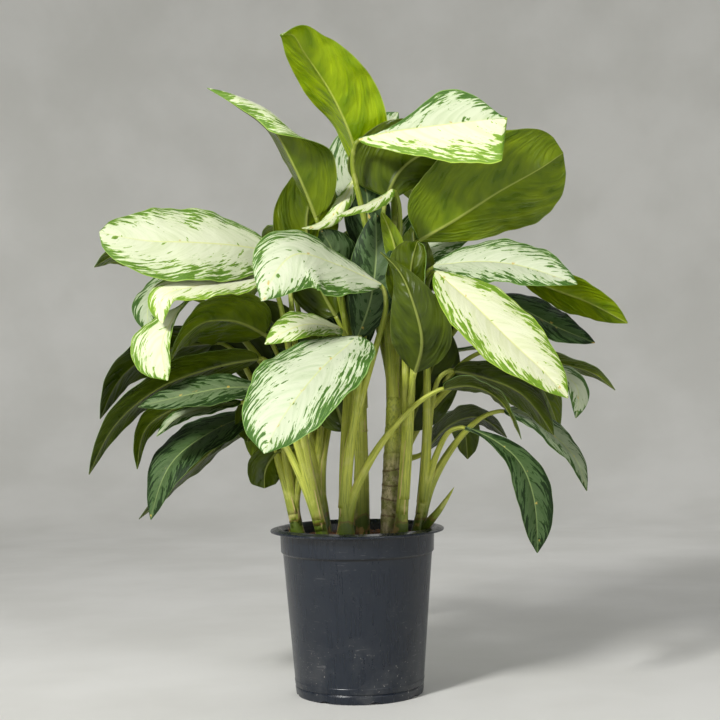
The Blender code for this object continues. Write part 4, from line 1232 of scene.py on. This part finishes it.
def lower_material():
    """Plain olive with soft creases, lighter along the midrib and the margin. Painted shade darkens the
    creases, and glow paints each underside brighter or darker for the light through it or the shade on it.
    """
    made, tree, shader = new_material("leaf_underside")
    share, t, x, vein, run, seed = leaf_places(tree)
    glow = read(tree, "leaf_painted_light")
    blur = streaks(vein, run, seed, 34 * MM, 46 * MM, 1.7, detail=2.0)
    fine = streaks(vein, run, seed, 2.4 * MM, 40 * MM, 5.2, detail=2.0)
    place = vein * (math.pi / VEIN_SPACING) + blur * 6.0
    pillow = abs(calc("SINE", place))
    pillow = pillow * step(streaks(vein, run, seed, 40 * MM, 50 * MM, 3.3), 0.3, 0.7, 0.2, 1.0)
    fade = step(t, 0.0, 0.25) * step(t, 0.7, 1.0, 1.0, 0.0)
    pillow = pillow * fade
    # Painted shade: the creases between the domes are painted darker and the domes lighter.
    tone = pillow * 0.15 + (blur - 0.5) * 2.0
    tone = tone + (fine - 0.5) * 0.35
    tone = calc("ADD", tone, 0.44, clamp=True)
    # Painted light and shade: glow makes an underside brighter where light shines through it and darker
    # where it lies in shade.
    dark = blend(glow, srgb(22, 32, 0), srgb(104, 136, 0))
    light = blend(glow, srgb(58, 74, 0), srgb(164, 188, 8))
    colour = blend(tone, dark, light)
    rib = step(x / (1.25 - share), 0.9 * MM, 2.6 * MM, 1.0, 0.0) * 0.85
    colour = blend(rib, colour, blend(glow, srgb(128, 138, 66), srgb(188, 200, 92)))
    edge = step(t, 0.975, 0.995)
    colour = blend(edge * 0.55, colour, blend(glow, srgb(110, 124, 50), srgb(196, 208, 110)))
    feed(shader.inputs["Base Color"], colour)
    feed(shader.inputs["Roughness"], step(blur, 0.3, 0.7, 0.27, 0.38))
    shader.inputs["Specular IOR Level"].default_value = 0.26
    grain = noise(vector(vein, run, seed), scale=1400, detail=2)
    height = pillow * 2.4 + (fine + grain) * 0.5
    height = height + blur * 15.0
    bump(shader, height, 0.4 * MM, 0.7)
    return made


def stalk_material():
    """Yellow green stalks with a dark green ring at the foot, painted shade low down and painted light
    where they are palest above it, and one woody cane with leaf scars.
    """
    made, tree, shader = new_material("stalks")
    names = ("stalk_run", "stalk_turn", "stalk_woody", "stalk_order")
    run, turn, woody, order = (read(tree, name) for name in names)
    place = own_place(tree)
    wrapped = vector(calc("COSINE", turn), calc("SINE", turn), run * 1.6)
    shift = vector(order, order * 3.7, 0.0)
    shifted = Value(add_node("VectorMath", wrapped, shift).outputs[0])
    lines = noise(shifted, scale=4.2, detail=4, roughness=0.6, distortion=0.3)
    patches = noise(place, scale=55, detail=3)
    specks = noise(place, scale=420, detail=2)
    above = split(place)[2] - (SOIL_TOP + MULCH)
    ragged = above + (patches - 0.5) * 0.03
    # Painted light and shade by height: darker low down, palest a few cm above the mulch where light
    # reaches the stalks, then their own green higher up.
    green = blend(step(ragged, 0.02, 0.09), srgb(120, 132, 36), srgb(196, 202, 84))
    green = blend(step(ragged, 0.15, 0.34), green, srgb(134, 148, 40))
    green = blend(step(lines, 0.44, 0.64, 0, 0.55), green, srgb(78, 108, 20))
    green = blend(step(patches, 0.52, 0.7, 0, 0.4), green, srgb(210, 210, 128))
    seam = abs(abs(turn - math.pi / 2) - 0.9)
    seam = step(seam, 0.0, 0.16, 1.0, 0.0) * step(run, 0.25, 0.45, 1.0, 0.0)
    green = blend(seam * 0.75, green, srgb(216, 186, 140))
    foot = step(ragged, 0.02, 0.024, 1.0, 0.0)
    green = blend(foot * 0.75, green, srgb(58, 80, 16))
    cuff = abs(ragged - 0.024)
    green = blend(step(cuff, 0.0006, 0.0028, 0.7, 0.0), green, srgb(104, 78, 40))
    scraps = step(above, 0.0, 0.045, 1.0, 0.0) * step(patches, 0.52, 0.6)
    green = blend(scraps * 0.85, green, srgb(172, 140, 86))
    ring = abs(calc("FRACT", run + 0.44) - 0.5)
    ring = step(ring + patches * 0.1, 0.08, 0.13, 1.0, 0.0)
    bark = blend(step(noise(wrapped, scale=2.2, detail=4), 0.4, 0.62),
                 srgb(186, 174, 136), srgb(138, 132, 90))
    bark = blend(step(patches, 0.48, 0.62, 0, 0.8), bark, srgb(126, 132, 66))
    bark = blend(step(specks, 0.56, 0.66, 0, 0.5), bark, srgb(74, 60, 38))
    bark = blend(ring * 0.6, bark, srgb(92, 66, 42))
    feed(shader.inputs["Base Color"], blend(woody, green, bark))
    feed(shader.inputs["Roughness"], 0.4 + woody * 0.35)
    shader.inputs["Specular IOR Level"].default_value = 0.4
    height = lines + specks * 0.6
    height = height - ring * woody * 1.5
    bump(shader, height, 0.6 * MM, 0.7)
    return made


def pot_material():
    """Satin slate plastic with vertical drag lines, dust and scuffs, and painted shadow in a thin line
    under the band's step and under the lip.
    """
    made, tree, shader = new_material("pot_plastic")
    place = own_place(tree)
    x, y, z = split(place)
    drag = noise(vector(x * 260.0, y * 260.0, z * 2.5), detail=2)
    dust = noise(place, scale=22, detail=5, roughness=0.65)
    flecks = noise(place, scale=330, detail=2, roughness=0.6)
    grain = noise(place, scale=2600, detail=1)
    low = step(z, 0.0, 0.12, 1.0, 0.15)
    colour = blend(step(drag, 0.35, 0.65), srgb(20, 28, 40), srgb(23, 31, 43))
    haze = step(dust, 0.45, 0.75) * low
    colour = blend(haze * 0.26, colour, srgb(108, 108, 106))
    marks = step(flecks, 0.665, 0.7) * (low * step(dust, 0.45, 0.6))
    colour = blend(marks * 0.8, colour, srgb(168, 166, 160))
    scratch = noise(vector(x * 30.0, y * 30.0, z * 420.0), detail=2, distortion=1.2)
    scuff = step(scratch, 0.66, 0.7) * step(dust, 0.5, 0.62)
    colour = blend(scuff * 0.35, colour, srgb(126, 126, 128))
    # Painted shadow: a thin dark line just below the band's step.
    band_shadow = abs(z - (BAND_Z - BAND_STEP / 2))
    colour = blend(step(band_shadow, 0.9 * MM, 1.9 * MM, 0.85, 0.0), colour, srgb(7, 8, 10))
    # Painted shadow under the lip.
    lip_shadow = z - (POT_HEIGHT - LIP_DROP - 2 * MM)
    lip_shadow = step(lip_shadow, -3 * MM, 0.0) * step(lip_shadow, 0.0, 2 * MM, 1.0, 0.0)
    colour = blend(lip_shadow * 0.6, colour, srgb(7, 8, 10))
    feed(shader.inputs["Base Color"], colour)
    rough = step(drag, 0.3, 0.7, 0.26, 0.31) + haze * 0.25
    feed(shader.inputs["Roughness"], rough)
    shader.inputs["Specular IOR Level"].default_value = 0.5
    bump(shader, drag * 0.1 + grain * 0.5, 0.06 * MM, 0.6)
    return made


def earth_material(name, dark, light):
    """Damp peat and bark in several browns."""
    made, tree, shader = new_material(name)
    place = own_place(tree)
    clods = noise(place, scale=160, detail=5, roughness=0.7)
    grit = noise(place, scale=900, detail=3)
    tone = read(tree, "crumb_tone")
    colour = blend(step(clods + tone * 0.2, 0.35, 0.8), dark, light)
    colour = blend(step(grit, 0.6, 0.68, 0, 0.5), colour, srgb(150, 122, 88))
    feed(shader.inputs["Base Color"], colour)
    feed(shader.inputs["Roughness"], step(clods, 0.3, 0.7, 0.75, 0.95))
    bump(shader, clods + grit * 0.5, 1.2 * MM, 0.8)
    return made


def studio():
    """A round pale room whose floor sweeps up into its wall, soft lights, and the photograph's view."""
    made, tree, shader = new_material("backdrop")
    place = own_place(tree)
    tint = step(noise(place, scale=3, detail=4), 0.3, 0.7)
    feed(shader.inputs["Base Color"], blend(tint, srgb(217, 217, 213), srgb(228, 228, 225)))
    shader.inputs["Roughness"].default_value = 0.9
    rows = [(share * FLOOR_R, 0) for share in (0.001, 0.3, 0.65, 1)]
    rows += [
        (FLOOR_R + SWEEP_R * math.sin(a), SWEEP_R * (1 - math.cos(a)))
        for a in np.linspace(0, math.pi / 2, 16)[1:]]
    rows.append((FLOOR_R + SWEEP_R, WALL_TOP))
    angle = np.linspace(0, 2 * math.pi, ROOM_STEPS, endpoint=False)
    points = np.array([(r * math.cos(a), r * math.sin(a), z) for r, z in rows for a in angle])
    here = np.arange(ROOM_STEPS)
    after = (here + 1) % ROOM_STEPS
    faces = np.concatenate([
        np.stack([k + here, k + ROOM_STEPS + here, k + ROOM_STEPS + after, k + after], axis=-1)
        for k in range(0, (len(rows) - 1) * ROOM_STEPS, ROOM_STEPS)])
    room = mesh_object("studio_sweep", points, faces, np.zeros(len(faces)), [made])
    for name, place, size, power, colour in LIGHTS:
        lamp = bpy.data.lights.new(name, "AREA")
        lamp.shape = "DISK"
        lamp.size = size
        lamp.energy = power
        lamp.color = colour
        stand = bpy.data.objects.new(name, lamp)
        bpy.context.scene.collection.objects.link(stand)
        stand.location = place
        aim = Vector(LIGHT_AIM) - stand.location
        stand.rotation_euler = aim.to_track_quat("-Z", "Y").to_euler()
        stand.visible_camera = False
    world = bpy.data.worlds.new("studio_air")
    world.use_nodes = True
    world.node_tree.nodes["Background"].inputs["Color"].default_value = (1.0, 1.0, 1.0, 1)
    world.node_tree.nodes["Background"].inputs["Strength"].default_value = AIR
    bpy.context.scene.world = world
    view = bpy.data.cameras.new("view")
    view.lens = LENS
    view.sensor_width = 36
    eye = bpy.data.objects.new("view", view)
    bpy.context.scene.collection.objects.link(eye)
    eye.matrix_world = (
        Matrix.Translation(EYE) @ Matrix.Rotation(math.radians(90 + EYE_PITCH), 4, "X")
        @ Matrix.Rotation(-math.radians(EYE_ROLL), 4, "Z"))
    bpy.context.scene.camera = eye
    bpy.context.scene.view_settings.view_transform = "Standard"


def corners(box):
    return [[float(value) for value in corner] for corner in box]


def main():
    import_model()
    faces = [upper_material(), lower_material()]
    stalks = stalk_material()
    for number, (name, shape) in enumerate(LEAVES.items()):
        piece = blade_piece("blade_" + name, shape, LEAF_PHASE * number, faces)
        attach(piece, "root")
        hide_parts("leaf_" + name)
    for number, (name, shape) in enumerate(FILLERS.items()):
        piece = blade_piece("filler_" + name, shape, LEAF_PHASE * (number + 0.5), faces)
        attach(piece, "root")
    for name in SHOOTS:
        piece = shoot_piece(name, stalks)
        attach(piece, "root")
        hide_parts("shoot_" + name)
    pot = pot_piece(pot_material())
    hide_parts("pot")
    earth = earth_material("potting_mix", srgb(40, 25, 17), srgb(94, 63, 42))
    soil = soil_piece(earth)
    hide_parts("soil")
    crumbs = crumbs_piece(earth_material("crumbs", srgb(56, 33, 21), srgb(142, 92, 58)))
    husks = husk_piece(earth_material("husks", srgb(96, 70, 42), srgb(186, 154, 104)))
    for piece in (pot, soil, crumbs, husks):
        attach(piece, "root")
    studio()
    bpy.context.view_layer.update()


main()
